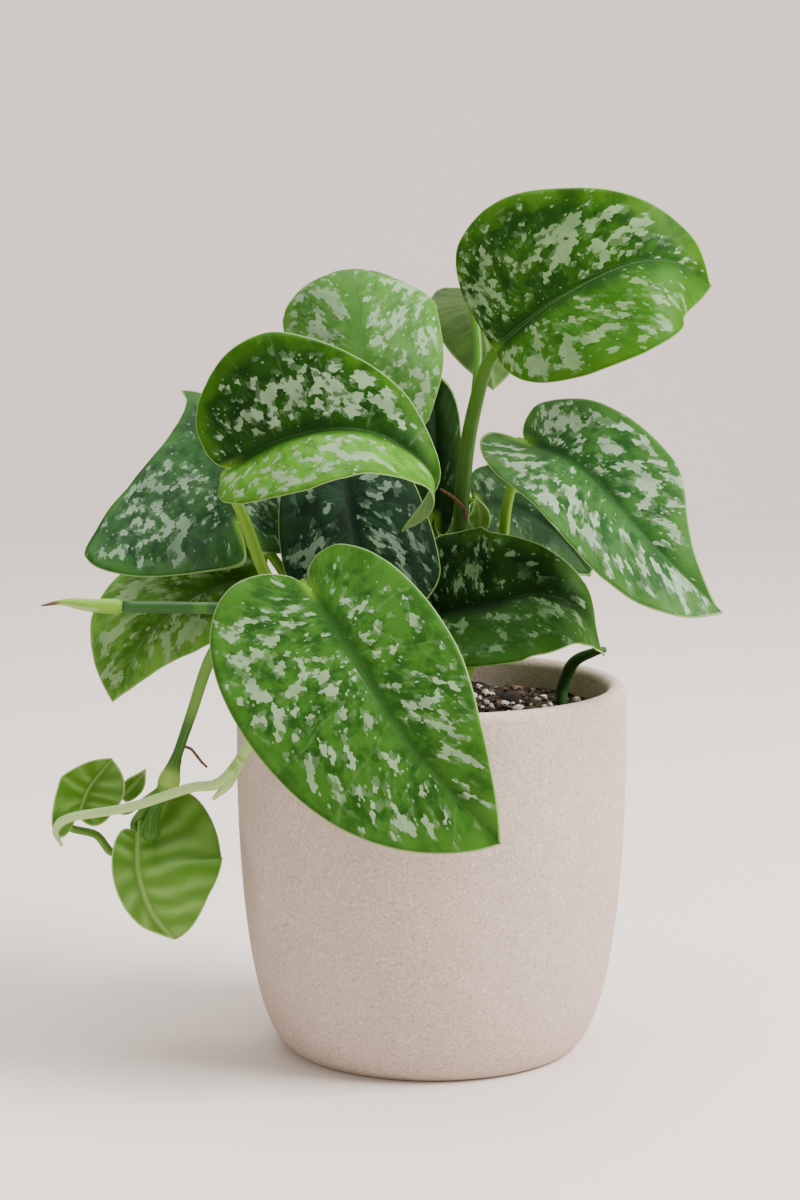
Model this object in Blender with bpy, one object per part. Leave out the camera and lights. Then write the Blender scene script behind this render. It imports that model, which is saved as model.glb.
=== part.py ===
"""A satin pothos in a round stoneware pot: pot, soil, stems, sheaths and leaf blades, each a closed solid.

Metres, +Z up. The origin is the middle of the pot's flat base and the plant's best side looks along -Y.
The helpers work in millimetres and turn them into metres when a mesh is made.
"""

import math
from collections import namedtuple

import bmesh
import bpy
from mathutils import Matrix, Vector, noise

MM = 0.001
GAP = 0.3  # clear space between pieces that touch

# Pot
POT_HEIGHT = 128.0
BASE_RADIUS = 49.0
BODY_RADIUS = 67.6
LIP_WIDTH = 6.7
WALL_START = 95.0  # the body is upright above this height
FLOOR_THICKNESS = 8.0
POT_SIDES = 48
CURVE_STEPS = 7
LIP_STEPS = 5

# Soil
SOIL_TOP = 118.0
SOIL_RELIEF = 2.2
SOIL_RINGS = 6
LUMPS = ((9.0, 1.0), (4.0, 0.5))  # size in mm and strength of the lumps on top
STEM_DEPTH = 22.0  # how far a stem stands in its hole
HOLE_PLAY = 0.9  # the hole is this much wider than its stem, on the radius
HOLE_REACH = 9.0  # how far above the soil a hole's cutter stands
HOLE_SIDES = 12

# Leaves
BLADE_THICKNESS = 0.7
BLADE_ROWS = 12
BLADE_COLUMNS = 3  # across each half
YOUNG_ROWS = 9
YOUNG_COLUMNS = 2
MIDRIB_STEPS = 10
ROOT_END = 0.15  # share of the margin from the sinus to the bottom of the lobe
WIDEST_END = 0.5  # share of the margin from the sinus to the widest point
VEIN_START = 1.9  # a side vein leaves the midrib at its share of the margin to this power
VEIN_SWEEP = 1.25  # and sweeps forward with its share of the way out to this power
ROW_SPREAD = 0.95  # below 1 the rows of a blade stand closer towards its tip

# Stems
STEM_SIDES = 7
STEM_STEPS = 3
SEAT_BEHIND = 5.0  # a petiole turns in under its blade this far behind the blade's base
SEAT_RISE = 2.0  # it rises by this much from there
SEAT_AHEAD = 1.5  # and it ends this far ahead of the base

# A half of a blade: its width and how far its lobe reaches behind the leaf's base in mm, where along the
# midrib it is widest and how full it stays towards the tip as shares, the fold at the midrib and the bend
# out to the margin in degrees (up is positive), and how far out its lobe's lowest point lies, as a share.
Half = namedtuple("Half", "width lobe widest full fold curl root", defaults=(0.42,))
# A blade: points along its midrib from base to tip in mm, the way its upper face looks at even steps
# along it, and its two halves, left and right as seen from above with the tip pointing up.
Blade = namedtuple("Blade", "midrib faces left right colour young", defaults=(False,))

DARK = (0.035, 0.12, 0.03)
GREEN = (0.05, 0.18, 0.03)
SATIN = (0.12, 0.28, 0.1)
BLUE_GREEN = (0.03, 0.1, 0.05)
LIGHT = (0.22, 0.42, 0.08)
OLIVE = (0.12, 0.2, 0.02)

BLADES = {
    "leaf_top_right": Blade(
        midrib=((21, -5, 243), (42, -13, 260), (66, -15, 272), (83, -9, 272), (95, 0, 264)),
        faces=((0, -0.8, 0.6), (0, -0.85, 0.5), (0.1, -0.9, 0.4)),
        left=Half(42, 0, 0.25, 0.22, 12, -8),
        right=Half(34, 0, 0.5, 0.7, 10, -8, 0.12),
        colour=GREEN,
    ),
    "leaf_right": Blade(
        midrib=((32, -8, 212), (50, -22, 204), (72, -42, 181), (95, -50, 159)),
        faces=((-0.1, -0.75, 0.65), (0.15, -0.8, 0.55), (0.3, -0.8, 0.45)),
        left=Half(26, 5, 0.42, 0.08, 14, -10),
        right=Half(25, 14, 0.5, 0.7, 16, -20, 0.2),
        colour=GREEN,
    ),
    "leaf_top_back": Blade(
        midrib=((-24, 16, 216), (-25, 24, 242), (-29, 46, 268), (-32, 78, 262)),
        faces=((0, -0.95, 0.3), (0, -0.8, 0.6), (0, 0, 1)),
        left=Half(31, 5, 0.5, 0.6, -8, -50),
        right=Half(34, 5, 0.5, 0.6, -8, -35),
        colour=SATIN,
    ),
    "leaf_centre": Blade(
        midrib=(
            (-68, -18, 204), (-49, -26, 214), (-29, -32, 218), (-13, -34, 214), (0, -32, 201), (-10, -25, 183)
        ),
        faces=((0, -0.7, 0.7), (0, -0.75, 0.65), (0.3, -0.7, 0.6), (0.8, -0.4, 0.3), (0.5, 0.2, -0.7)),
        left=Half(39, 8, 0.22, -0.15, 22, -5),
        right=Half(32, 2, 0.36, 0.3, 22, -10),
        colour=GREEN,
    ),
    "leaf_left": Blade(
        midrib=((-66, -6, 184), (-71.5, 5, 196.5), (-79, 23, 213), (-89, 44, 226)),
        faces=((0.3, -0.8, 0.6), (0.1, -0.75, 0.65), (0, -0.6, 0.7)),
        left=Half(54, 18, 0.03, -0.1, -6, -12, 0.08),
        right=Half(30, 15, 0.0, 0.5, -6, -10, 0.06),
        colour=BLUE_GREEN,
    ),
    "leaf_front": Blade(
        midrib=((-40, -58, 168), (-27, -72, 151), (-12, -84, 128), (2, -90, 111), (21, -92, 91)),
        faces=((-0.1, -0.8, 0.6), (0, -0.93, 0.3), (0, -1, 0)),
        left=Half(30, 10, 0.36, 0.4, 6, -10),
        right=Half(44, 14, 0.28, 0.5, 8, -14),
        colour=GREEN,
    ),
    "leaf_low_right": Blade(
        midrib=((-1, -6, 152), (17, -20, 157), (34, -26, 162), (49, -23, 157), (59, -14, 139)),
        faces=((0, -0.8, 0.55), (0, -0.8, 0.6), (0.4, -0.7, 0.5), (0.9, -0.3, 0.2)),
        left=Half(31, 8, 0.2, 0.0, 14, -14, 0.8),
        right=Half(27, 2, 0.45, 0.3, 14, -10),
        colour=DARK,
    ),
    "leaf_middle": Blade(
        midrib=((-30, 4, 201), (-28, -6, 189), (-24, -17, 168), (-20, -21, 145)),
        faces=((0, -0.6, 0.8), (0, -0.85, 0.5), (0, -0.95, 0.3)),
        left=Half(27, 6, 0.65, 0.5, 10, -20),
        right=Half(26, 6, 0.5, 0.5, 10, -20),
        colour=BLUE_GREEN,
    ),
    "leaf_low_left": Blade(
        midrib=((-60, 10, 164), (-78, 3, 160), (-97, -5, 146), (-110, -8, 122)),
        faces=((-0.2, -0.6, 0.75), (-0.3, -0.8, 0.5), (-0.3, -0.9, 0.3)),
        left=Half(20, 6, 0.4, 0.3, 8, -20),
        right=Half(26, 6, 0.5, 0.5, 8, -20),
        colour=GREEN,
    ),
    "leaf_back_dark": Blade(
        midrib=((1, 24, 183), (2, 35, 205), (1, 48, 232)),
        faces=((0, -0.9, 0.4), (0, -0.95, 0.2)),
        left=Half(16, 8, 0.5, 0.5, 10, -20),
        right=Half(9, 8, 0.6, 0.7, 10, -20),
        colour=DARK,
    ),
    "leaf_behind_right": Blade(
        midrib=((16, 21, 189), (32, 24, 185), (45, 22, 176), (56, 15, 163)),
        faces=((0, -0.7, 0.7), (0.1, -0.8, 0.6)),
        left=Half(19, 3, 0.4, 0.5, 10, -20),
        right=Half(18, 3, 0.5, 0.5, 10, -20),
        colour=DARK,
    ),
    "leaf_top_behind": Blade(
        midrib=((15, 60, 261), (19, 80, 249), (24, 92, 223)),
        faces=((0, 0.7, 0.7), (0, 0.9, 0.4)),
        left=Half(18, 3, 0.4, 0.4, 10, -10),
        right=Half(20, 3, 0.4, 0.5, 10, -10),
        colour=OLIVE,
    ),
    "leaf_rear_middle": Blade(
        midrib=((-10, 43, 199), (-20, 62, 206), (-30, 84, 190), (-36, 98, 164)),
        faces=((0, 0.2, 1), (-0.2, 0.6, 0.8), (-0.2, 0.9, 0.3)),
        left=Half(28, 8, 0.4, 0.5, 8, -20),
        right=Half(28, 8, 0.4, 0.5, 8, -20),
        colour=GREEN,
    ),
    "leaf_rear_right": Blade(
        midrib=((22, 30, 175), (28, 52, 180), (34, 76, 164), (34, 90, 140)),
        faces=((0, 0.2, 1), (0.1, 0.6, 0.8), (0.1, 0.9, 0.3)),
        left=Half(22, 7, 0.4, 0.5, 8, -20),
        right=Half(22, 7, 0.4, 0.5, 8, -20),
        colour=GREEN,
    ),
    "leaf_rear_left": Blade(
        midrib=((-48, 26, 172), (-62, 42, 176), (-80, 58, 162), (-88, 64, 140)),
        faces=((0, 0.1, 1), (-0.3, 0.5, 0.8), (-0.5, 0.8, 0.3)),
        left=Half(20, 6, 0.4, 0.5, 8, -20),
        right=Half(20, 6, 0.4, 0.5, 8, -20),
        colour=GREEN,
    ),
    "leaf_young_front": Blade(
        midrib=((-100, -30, 81), (-99, -38, 69), (-95, -36, 55), (-88, -28, 43)),
        faces=((0.3, -0.8, 0.5), (0.2, -1, 0), (0, -0.8, -0.6)),
        left=Half(29, 17, 0.28, 0.5, 10, -10),
        right=Half(9, 1, 0.3, 0.35, 10, -10),
        colour=LIGHT,
        young=True,
    ),
    "leaf_young_left": Blade(
        midrib=((-120, -26, 87), (-117, -22, 95), (-109, -22, 105)),
        faces=((0.5, -0.8, 0), (0.5, -0.8, 0)),
        left=Half(20, 12, 0.15, 0.6, 30, 5),
        right=Half(12, 3, 0.5, 0.7, 30, 5),
        colour=LIGHT,
        young=True,
    ),
    "leaf_young_behind": Blade(
        midrib=((-106, -17, 91), (-102, -15, 95), (-98, -15, 100)),
        faces=((0.5, -0.8, 0), (0.5, -0.8, 0)),
        left=Half(4, 1, 0.4, 0.3, 15, 5),
        right=Half(4, 1, 0.4, 0.3, 15, 5),
        colour=LIGHT,
        young=True,
    ),
    "sheath_centre": Blade(
        midrib=((16.5, 2.5, 181), (17, 1.5, 186.5), (15, 0.5, 192.5)),
        faces=((-0.3, -0.9, 0.2), (-0.3, -0.9, 0.2)),
        left=Half(4.5, 0, 0.3, 0.2, 20, 10),
        right=Half(4.5, 0, 0.3, 0.2, 20, 10),
        colour=LIGHT,
        young=True,
    ),
}

# A tube: points along it in mm, and its radius at even steps. "foot" starts it upright in the soil at the
# first point's x and y, and "blade" ends it under the base of that leaf.
Tube = namedtuple("Tube", "points radii foot blade", defaults=(False, None))
STEM_COLOUR = (0.14, 0.3, 0.05)
DARK_STEM_COLOUR = (0.03, 0.1, 0.04)
PALE_STEM_COLOUR = (0.35, 0.55, 0.2)
BROWN = (0.2, 0.09, 0.03)

STEMS = {
    "stem_centre": (
        STEM_COLOUR,
        Tube(((8, 7, 118), (8, 7, 130), (9, 8, 148)), (3.2, 3.0, 2.4), foot=True),
        Tube(
            ((8, 7, 126), (9, 8, 150), (10, 8, 180), (12, 6, 207), (16, 2, 228)),
            (2.6, 2.7, 2.0),
            blade="leaf_top_right",
        ),
        Tube(((8, 7, 128), (8, 14, 150), (5, 20, 168)), (1.8, 1.4), blade="leaf_back_dark"),
        Tube(((9, 8, 132), (12, 17, 155), (12, 22, 172)), (1.8, 1.4), blade="leaf_behind_right"),
        Tube(
            ((8, 8, 136), (9, 14, 165), (11.5, 22, 192), (14.5, 32, 215), (17, 44, 240)),
            (1.8, 1.4),
            blade="leaf_top_behind",
        ),
        Tube(((8, 7, 124), (2, 2, 132), (-5, -1, 142)), (2.0, 1.5), blade="leaf_low_right"),
        Tube(((9, 8, 150), (12, 4.5, 162), (15, 5, 173)), (1.4, 1.0), blade="sheath_centre"),
    ),
    "root_centre": (
        BROWN,
        Tube(((11.6, 4.2, 184.5), (11, 2.5, 188), (7.7, 2, 191.6), (2.9, 3, 194.6)), (0.7, 0.6, 0.5)),
    ),
    "stem_right": (
        STEM_COLOUR,
        Tube(
            ((9, -5, 118), (10, -4, 126), (18, 3, 146), (24, 6, 170), (26, 5, 188), (29, 2, 202)),
            (2.4, 2.0, 1.8, 1.5),
            foot=True,
            blade="leaf_right",
        ),
        Tube(((12, -2, 132), (18, 14, 150), (19, 22, 166)), (1.8, 1.4), blade="leaf_rear_right"),
    ),
    "stem_left": (
        STEM_COLOUR,
        Tube(
            ((-24, 2, 118), (-27, 0, 130), (-44, -14, 150), (-56, -19, 167), (-64, -19, 188)),
            (3.0, 2.2, 1.7),
            foot=True,
            blade="leaf_centre",
        ),
        Tube(((-25, 2, 124), (-29, 12, 155), (-30, 16, 188)), (2.0, 1.5), blade="leaf_middle"),
        Tube(((-26, 1, 126), (-42, 4, 150), (-56, 4, 172)), (2.0, 1.5), blade="leaf_left"),
        Tube(((-25, 2, 122), (-38, 14, 146), (-48, 15, 160)), (2.0, 1.5), blade="leaf_low_left"),
    ),
    "stem_back": (
        STEM_COLOUR,
        Tube(
            ((-12, 22, 118), (-12, 22, 130), (-16, 27, 165), (-22, 24, 195)),
            (2.8, 2.2, 1.6),
            foot=True,
            blade="leaf_top_back",
        ),
        Tube(((-12, 22, 126), (-9, 27, 155), (-8, 28, 185)), (1.8, 1.4), blade="leaf_rear_middle"),
        Tube(((-12, 22, 124), (-28, 26, 145), (-40, 24, 164)), (1.8, 1.4), blade="leaf_rear_left"),
    ),
    "petiole_front": (
        STEM_COLOUR,
        Tube(
            ((-12, -14, 118), (-14, -18, 130), (-26, -35, 151), (-35.5, -48.5, 164)),
            (2.6, 2.2, 1.8),
            foot=True,
            blade="leaf_front",
        ),
    ),
    "vine_tip": (
        DARK_STEM_COLOUR,
        Tube(
            (
                (-14, -2, 118), (-20, -10, 132), (-33, -25, 147), (-48, -29, 157), (-71, -28, 157.5),
                (-104, -28, 158),
            ),
            (2.4, 2.0, 2.0),
            foot=True,
        ),
    ),
    "sheath_tip": (
        LIGHT,
        Tube(
            ((-104.4, -28, 158), (-114, -28.5, 158.5), (-124, -28, 159.5), (-132, -28, 158.5)),
            (2.5, 2.2, 1.6, 0.4),
        ),
    ),
    "vine_trailing": (
        STEM_COLOUR,
        Tube(
            (
                (-32, -18, 118), (-38, -21, 132), (-52, -26, 148), (-65, -28, 151), (-74, -28, 142),
                (-81.5, -28, 121), (-88, -28, 102), (-90.5, -28, 93),
            ),
            (2.0, 2.0, 2.0, 2.0, 2.1, 2.2, 2.2, 2.2, 2.2, 2.2, 2.3, 2.5, 3.9, 3.6, 2.6),
            foot=True,
        ),
        Tube(((-91, -28, 96), (-96, -29, 90)), (2.0, 1.2), blade="leaf_young_front"),
        Tube(((-91, -28, 95), (-94, -33, 88), (-95, -35, 82), (-95, -35, 79)), (1.6, 2.2, 3.4, 1.2)),
        Tube(
            (
                (-89.5, -27, 99), (-91, -16, 96), (-98, -11, 84), (-104, -12, 73), (-110, -16, 71),
                (-115, -20, 78),
            ),
            (1.4, 1.5, 1.3),
            blade="leaf_young_left",
        ),
        Tube(((-90, -26, 97), (-98, -17, 90), (-105, -16, 85)), (1.0, 0.8), blade="leaf_young_behind"),
    ),
    "vine_front": (
        PALE_STEM_COLOUR,
        Tube(
            (
                (-18, -31, 118), (-24, -36, 130), (-40, -46, 141), (-54, -52, 128), (-63, -50.5, 111),
                (-71, -49, 102), (-81, -48, 100), (-101, -45, 93), (-121, -43, 89), (-126, -42, 84.5),
                (-124, -42, 79),
            ),
            (2.2, 2.2, 2.2, 2.0, 1.7, 1.6, 1.5, 0.5),
            foot=True,
        ),
        Tube(((-63, -51, 111), (-68, -48, 101.5), (-73, -46, 96)), (1.9, 1.7, 0.6)),
    ),
    "root_trailing": (
        BROWN,
        Tube(((-81.9, -28.5, 110), (-80, -29.5, 108), (-78, -30, 105.5), (-76, -30, 103.5)), (0.5, 0.5, 0.4)),
    ),
    "shoot_right": (
        DARK_STEM_COLOUR,
        Tube(
            ((46, 14, 118), (46.5, 14, 124), (50, 10, 133), (56.5, 4, 137.5), (60, 0, 139)),
            (2.0, 2.2, 1.1),
            foot=True,
        ),
    ),
}


def shared(a, b, share):
    return a + (b - a) * share


def bezier(p0, p1, p2, p3, t):
    u = 1 - t
    return p0 * u**3 + 3 * p1 * u * u * t + 3 * p2 * u * t * t + p3 * t**3


def material(name, colour, roughness):
    finish = bpy.data.materials.new(name)
    finish.use_nodes = True
    finish.diffuse_color = (*colour, 1.0)
    shader = finish.node_tree.nodes["Principled BSDF"]
    shader.inputs["Base Color"].default_value = (*colour, 1.0)
    shader.inputs["Roughness"].default_value = roughness
    shader.inputs["Metallic"].default_value = 0.0
    return finish


def mesh_object(name, points, faces, finish):
    """An object from points in mm, with its faces turned outwards and shaded smooth."""
    shape = bmesh.new()
    corners = [shape.verts.new(Vector(point) * MM) for point in points]
    for face in faces:
        shape.faces.new([corners[i] for i in face])
    bmesh.ops.recalc_face_normals(shape, faces=shape.faces)
    mesh = bpy.data.meshes.new(name)
    shape.to_mesh(mesh)
    shape.free()
    mesh.shade_smooth()
    mesh.materials.append(finish)
    made = bpy.data.objects.new(name, mesh)
    bpy.context.scene.collection.objects.link(made)
    return made


def smooth_line(points, steps):
    """Points on a smooth curve through the given ones."""
    knots = [Vector(point) for point in points]
    knots = [2 * knots[0] - knots[1], *knots, 2 * knots[-1] - knots[-2]]
    line = []
    for a, b, c, d in zip(knots, knots[1:], knots[2:], knots[3:]):
        for step in range(steps):
            t = step / steps
            bend = (2 * a - 5 * b + 4 * c - d) * t * t + (3 * b - a - 3 * c + d) * t**3
            line.append(b + 0.5 * ((c - a) * t + bend))
    line.append(knots[-2])
    return line


def along(values, share):
    """The value at a share of the way through a list of numbers or vectors at even steps."""
    place = min(max(share, 0.0), 1.0) * (len(values) - 1)
    index = min(int(place), len(values) - 2)
    return shared(values[index], values[index + 1], place - index)


class Midrib:
    """A leaf's midrib, with the frame of the blade at any share of its length."""

    def __init__(self, blade):
        line = smooth_line(blade.midrib, MIDRIB_STEPS)
        spans = [(b - a).length for a, b in zip(line, line[1:])]
        self.length = sum(spans)
        self.points = []
        place = 0.0
        index = 0
        count = MIDRIB_STEPS * len(blade.midrib)
        for step in range(count + 1):
            target = self.length * step / count
            while index < len(spans) - 1 and place + spans[index] < target:
                place += spans[index]
                index += 1
            way = min((target - place) / spans[index], 1.0)
            self.points.append(shared(line[index], line[index + 1], way))
        self.faces = [Vector(face).normalized() for face in blade.faces]

    def frame(self, share):
        """The point, the way along, across to the right, and up; behind the base it runs straight on."""
        inside = min(max(share, 0.0), 1.0)
        reach = 0.04
        tangent = (along(self.points, inside + reach) - along(self.points, inside - reach)).normalized()
        across = tangent.cross(along(self.faces, inside)).normalized()
        point = along(self.points, inside)
        if share < 0:
            point = point + tangent * share * self.length
        return point, tangent, across, across.cross(tangent)


def margin(half, length, t):
    """A half's outline from the sinus (t = 0) to the tip (t = 1): mm out from the midrib, share along it."""
    lobe = half.lobe / length
    low = half.root * half.width
    if t < ROOT_END:
        u = t / ROOT_END
        return bezier(0, 0.1 * low, 0.5 * low, low, u), bezier(0, -0.7 * lobe, -lobe, -lobe, u)
    if t < WIDEST_END:
        u = (t - ROOT_END) / (WIDEST_END - ROOT_END)
        out = bezier(low, shared(low, half.width, 0.55), half.width, half.width, u)
        return out, bezier(-lobe, -lobe, half.widest - 0.6 * (half.widest + lobe), half.widest, u)
    u = (t - WIDEST_END) / (1 - WIDEST_END)
    shoulder = shared(half.widest, 1, 0.2 + 0.5 * half.full)
    out = bezier(half.width, half.width, half.full * half.width, 0, u)
    return out, bezier(half.widest, shoulder, 0.8 + 0.2 * half.full, 1, u)


def blade_point(midrib, half, side, out, t):
    """A point of the blade, on the vein that meets the margin at t, as a share out from the midrib."""
    width, place = margin(half, midrib.length, t)
    start = t**VEIN_START
    point, _, across, up = midrib.frame(shared(start, place, out**VEIN_SWEEP))
    distance = width * out
    fold = math.radians(half.fold)
    bend = math.radians(half.curl) / half.width
    sideways = (math.sin(fold + bend * distance) - math.sin(fold)) / bend
    lift = (math.cos(fold) - math.cos(fold + bend * distance)) / bend
    return point + across * side * sideways + up * lift


def blade_object(name, blade):
    """A leaf blade: one curved sheet between its margins, thickened evenly to both sides."""
    midrib = Midrib(blade)
    rows, columns = (YOUNG_ROWS, YOUNG_COLUMNS) if blade.young else (BLADE_ROWS, BLADE_COLUMNS)
    points = [midrib.points[0]]
    for row in range(1, rows):
        t = (row / rows) ** ROW_SPREAD
        for column in range(-columns, columns + 1):
            half = blade.left if column < 0 else blade.right
            side = -1 if column < 0 else 1
            points.append(blade_point(midrib, half, side, abs(column) / columns, t))
    points.append(midrib.points[-1])
    width = 2 * columns + 1
    faces = []
    for column in range(2 * columns):
        faces.append((0, 2 + column, 1 + column))
        for row in range(rows - 2):
            a = 1 + row * width + column
            b = a + width
            if column < columns:
                faces += [(a, a + 1, b), (a + 1, b + 1, b)]
            else:
                faces += [(a, a + 1, b + 1), (a, b + 1, b)]
        last = 1 + (rows - 2) * width + column
        faces.append((last, last + 1, len(points) - 1))
    made = mesh_object(name, points, faces, material(name, blade.colour, 0.5))
    sheet = made.modifiers.new("Thickness", "SOLIDIFY")
    sheet.thickness = BLADE_THICKNESS * MM
    sheet.offset = 0.0
    return made


def tube_object(name, tube, finish):
    """A round stem with flat ends, tapered between its radii."""
    points = [Vector(point) for point in tube.points]
    if tube.blade:
        base, tangent, _, up = Midrib(BLADES[tube.blade]).frame(0.0)
        clear = BLADE_THICKNESS / 2 + GAP + tube.radii[-1]
        points.append(base - SEAT_BEHIND * tangent - (clear + SEAT_RISE) * up)
        points.append(base + SEAT_AHEAD * tangent - clear * up)
    line = smooth_line(points, STEM_STEPS)
    if tube.foot:
        first = points[0]
        line = [first + Vector((0, 0, -STEM_DEPTH)), *line]
    sides = []
    faces = []
    level = Vector((0.3, 1.0, 0.2))
    for index, point in enumerate(line):
        ahead = line[min(index + 1, len(line) - 1)] - line[max(index - 1, 0)]
        right = ahead.cross(level).normalized()
        level = right.cross(ahead).normalized()
        radius = along(tube.radii, index / (len(line) - 1))
        for side in range(STEM_SIDES):
            turn = 2 * math.pi * side / STEM_SIDES
            sides.append(point + radius * (math.cos(turn) * right + math.sin(turn) * level))
    for ring in range(len(line) - 1):
        for side in range(STEM_SIDES):
            a = ring * STEM_SIDES + side
            b = ring * STEM_SIDES + (side + 1) % STEM_SIDES
            faces.append((a, b, b + STEM_SIDES, a + STEM_SIDES))
    faces.append(tuple(range(STEM_SIDES)))
    faces.append(tuple(len(sides) - 1 - side for side in range(STEM_SIDES)))
    return mesh_object(name, sides, faces, finish)


def apply_boolean(target, operation, others):
    """Unites the others with the target, or cuts them from it, and removes them."""
    group = bpy.data.collections.new("tools")
    bpy.context.scene.collection.children.link(group)
    for other in others:
        bpy.context.scene.collection.objects.unlink(other)
        group.objects.link(other)
    cut = target.modifiers.new(operation, "BOOLEAN")
    cut.operation = operation
    cut.operand_type = "COLLECTION"
    cut.collection = group
    cut.solver = "EXACT"
    graph = bpy.context.evaluated_depsgraph_get()
    result = bpy.data.meshes.new_from_object(target.evaluated_get(graph), depsgraph=graph)
    target.modifiers.clear()
    target.data = result
    for other in others:
        bpy.data.objects.remove(other)
    bpy.data.collections.remove(group)


def stem_object(name, colour, tubes):
    finish = material(name, colour, 0.45)
    pieces = [tube_object(f"{name}_{index}", tube, finish) for index, tube in enumerate(tubes)]
    pieces[0].name = name
    if len(pieces) > 1:
        apply_boolean(pieces[0], "UNION", pieces[1:])
    return pieces[0]


def turned_object(name, profile, sides, finish):
    """A solid turned round Z from (radius, height) points that start and end on the axis."""
    points = [(0, 0, profile[0][1])]
    for radius, height in profile[1:-1]:
        for side in range(sides):
            turn = 2 * math.pi * side / sides
            points.append((radius * math.cos(turn), radius * math.sin(turn), height))
    points.append((0, 0, profile[-1][1]))
    faces = []
    for side in range(sides):
        after = (side + 1) % sides
        faces.append((0, 1 + after, 1 + side))
        for ring in range(len(profile) - 3):
            a = 1 + ring * sides
            faces.append((a + side, a + after, a + sides + after, a + sides + side))
        last = 1 + (len(profile) - 3) * sides
        faces.append((last + side, last + after, len(points) - 1))
    return mesh_object(name, points, faces, finish)


def inside_radius(height_share, inset):
    """The (radius, height) of the pot's inner wall, from the floor's edge (0) to the upright wall (1)."""
    wall = BODY_RADIUS - LIP_WIDTH
    radius = bezier(42, 52, wall - 1, wall, height_share)
    height = bezier(FLOOR_THICKNESS, FLOOR_THICKNESS + 1, 34, WALL_START, height_share)
    return radius - inset, height + inset


def pot_profile():
    outside = []
    for step in range(CURVE_STEPS + 1):
        t = step / CURVE_STEPS
        outside.append((bezier(BASE_RADIUS, 58, 66.5, BODY_RADIUS, t), bezier(0, 2, 30, WALL_START, t)))
    lip = []
    roll = LIP_WIDTH / 2
    for step in range(LIP_STEPS + 1):
        turn = math.pi * step / LIP_STEPS
        lip.append((BODY_RADIUS - roll + roll * math.cos(turn), POT_HEIGHT - roll + roll * math.sin(turn)))
    inside = [inside_radius(1 - step / CURVE_STEPS, 0) for step in range(CURVE_STEPS + 1)]
    return [(0, 0), *outside, *lip, *inside, (0, FLOOR_THICKNESS)]


def pot_object():
    return turned_object("pot", pot_profile(), POT_SIDES, material("pot", (0.56, 0.48, 0.42), 0.8))


def soil_object():
    """The filling of the pot, lumpy on top, with a plain hole round each stem."""
    play = 1.2 * GAP
    wall = [inside_radius(step / CURVE_STEPS, play) for step in range(CURVE_STEPS + 1)]
    edge = wall[-1][0]
    rings = [(edge * (1 - ring / SOIL_RINGS), SOIL_TOP) for ring in range(SOIL_RINGS + 1)]
    finish = material("soil", (0.03, 0.018, 0.012), 0.95)
    soil = turned_object("soil", [(0, FLOOR_THICKNESS + play), *wall, *rings], POT_SIDES, finish)
    for vertex in soil.data.vertices:
        if vertex.co.z > (SOIL_TOP - 1) * MM:
            relief = sum(strength * noise.noise(vertex.co / MM / size) for size, strength in LUMPS)
            vertex.co.z += SOIL_RELIEF * relief * MM
    holes = []
    for name, (_, *tubes) in STEMS.items():
        for tube in tubes:
            if tube.foot:
                x, y, _ = tube.points[0]
                radius = tube.radii[0] + HOLE_PLAY
                low = SOIL_TOP - STEM_DEPTH - GAP
                high = SOIL_TOP + HOLE_REACH
                profile = [(0, low), (radius, low), (radius, high), (0, high)]
                hole = turned_object(f"hole_{name}", profile, HOLE_SIDES, finish)
                hole.data.transform(Matrix.Translation(Vector((x, y, 0)) * MM))
                holes.append(hole)
    apply_boolean(soil, "DIFFERENCE", holes)
    return soil


def main():
    for old in list(bpy.data.objects):
        bpy.data.objects.remove(old)
    pot_object()
    soil_object()
    for name, (colour, *tubes) in STEMS.items():
        stem_object(name, colour, tubes)
    for name, blade in BLADES.items():
        blade_object(name, blade)


main()
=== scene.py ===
"""Dresses a satin pothos in its pot: leaf blades, stalks, roots, soil, pot, studio light and camera.

Lengths in the tables are millimetres in the part's own frame: the pot stands on z = 0 round the Z axis and
the plant's best side looks along -Y. They become metres where a mesh is made.
"""

import math
import random
from collections import namedtuple

import bpy
import numpy as np
from bpy.props import FloatProperty, FloatVectorProperty, IntProperty, PointerProperty
from bpy.types import Operator, Panel, PropertyGroup
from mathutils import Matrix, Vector, kdtree, noise


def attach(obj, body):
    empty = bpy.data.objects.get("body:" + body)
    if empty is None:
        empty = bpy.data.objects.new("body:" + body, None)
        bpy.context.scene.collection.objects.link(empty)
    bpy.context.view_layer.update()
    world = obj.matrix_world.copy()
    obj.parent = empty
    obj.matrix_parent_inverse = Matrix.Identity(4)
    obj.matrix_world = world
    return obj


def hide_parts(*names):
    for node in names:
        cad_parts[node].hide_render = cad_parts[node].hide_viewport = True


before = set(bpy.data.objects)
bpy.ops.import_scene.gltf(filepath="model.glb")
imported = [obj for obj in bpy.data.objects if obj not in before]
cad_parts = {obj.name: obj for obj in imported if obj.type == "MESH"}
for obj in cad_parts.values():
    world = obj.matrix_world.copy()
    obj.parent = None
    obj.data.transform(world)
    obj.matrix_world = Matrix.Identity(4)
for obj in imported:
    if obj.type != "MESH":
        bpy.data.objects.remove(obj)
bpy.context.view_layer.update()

bl_info = {
    "name": "Satin Pothos",
    "version": (1, 0, 0),
    "blender": (4, 5, 0),
    "location": "3D View > Sidebar > Pothos",
    "description": "Builds a satin pothos in a stoneware pot, with its studio",
    "category": "Object",
}

MM = 0.001
BODY = "root"

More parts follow.
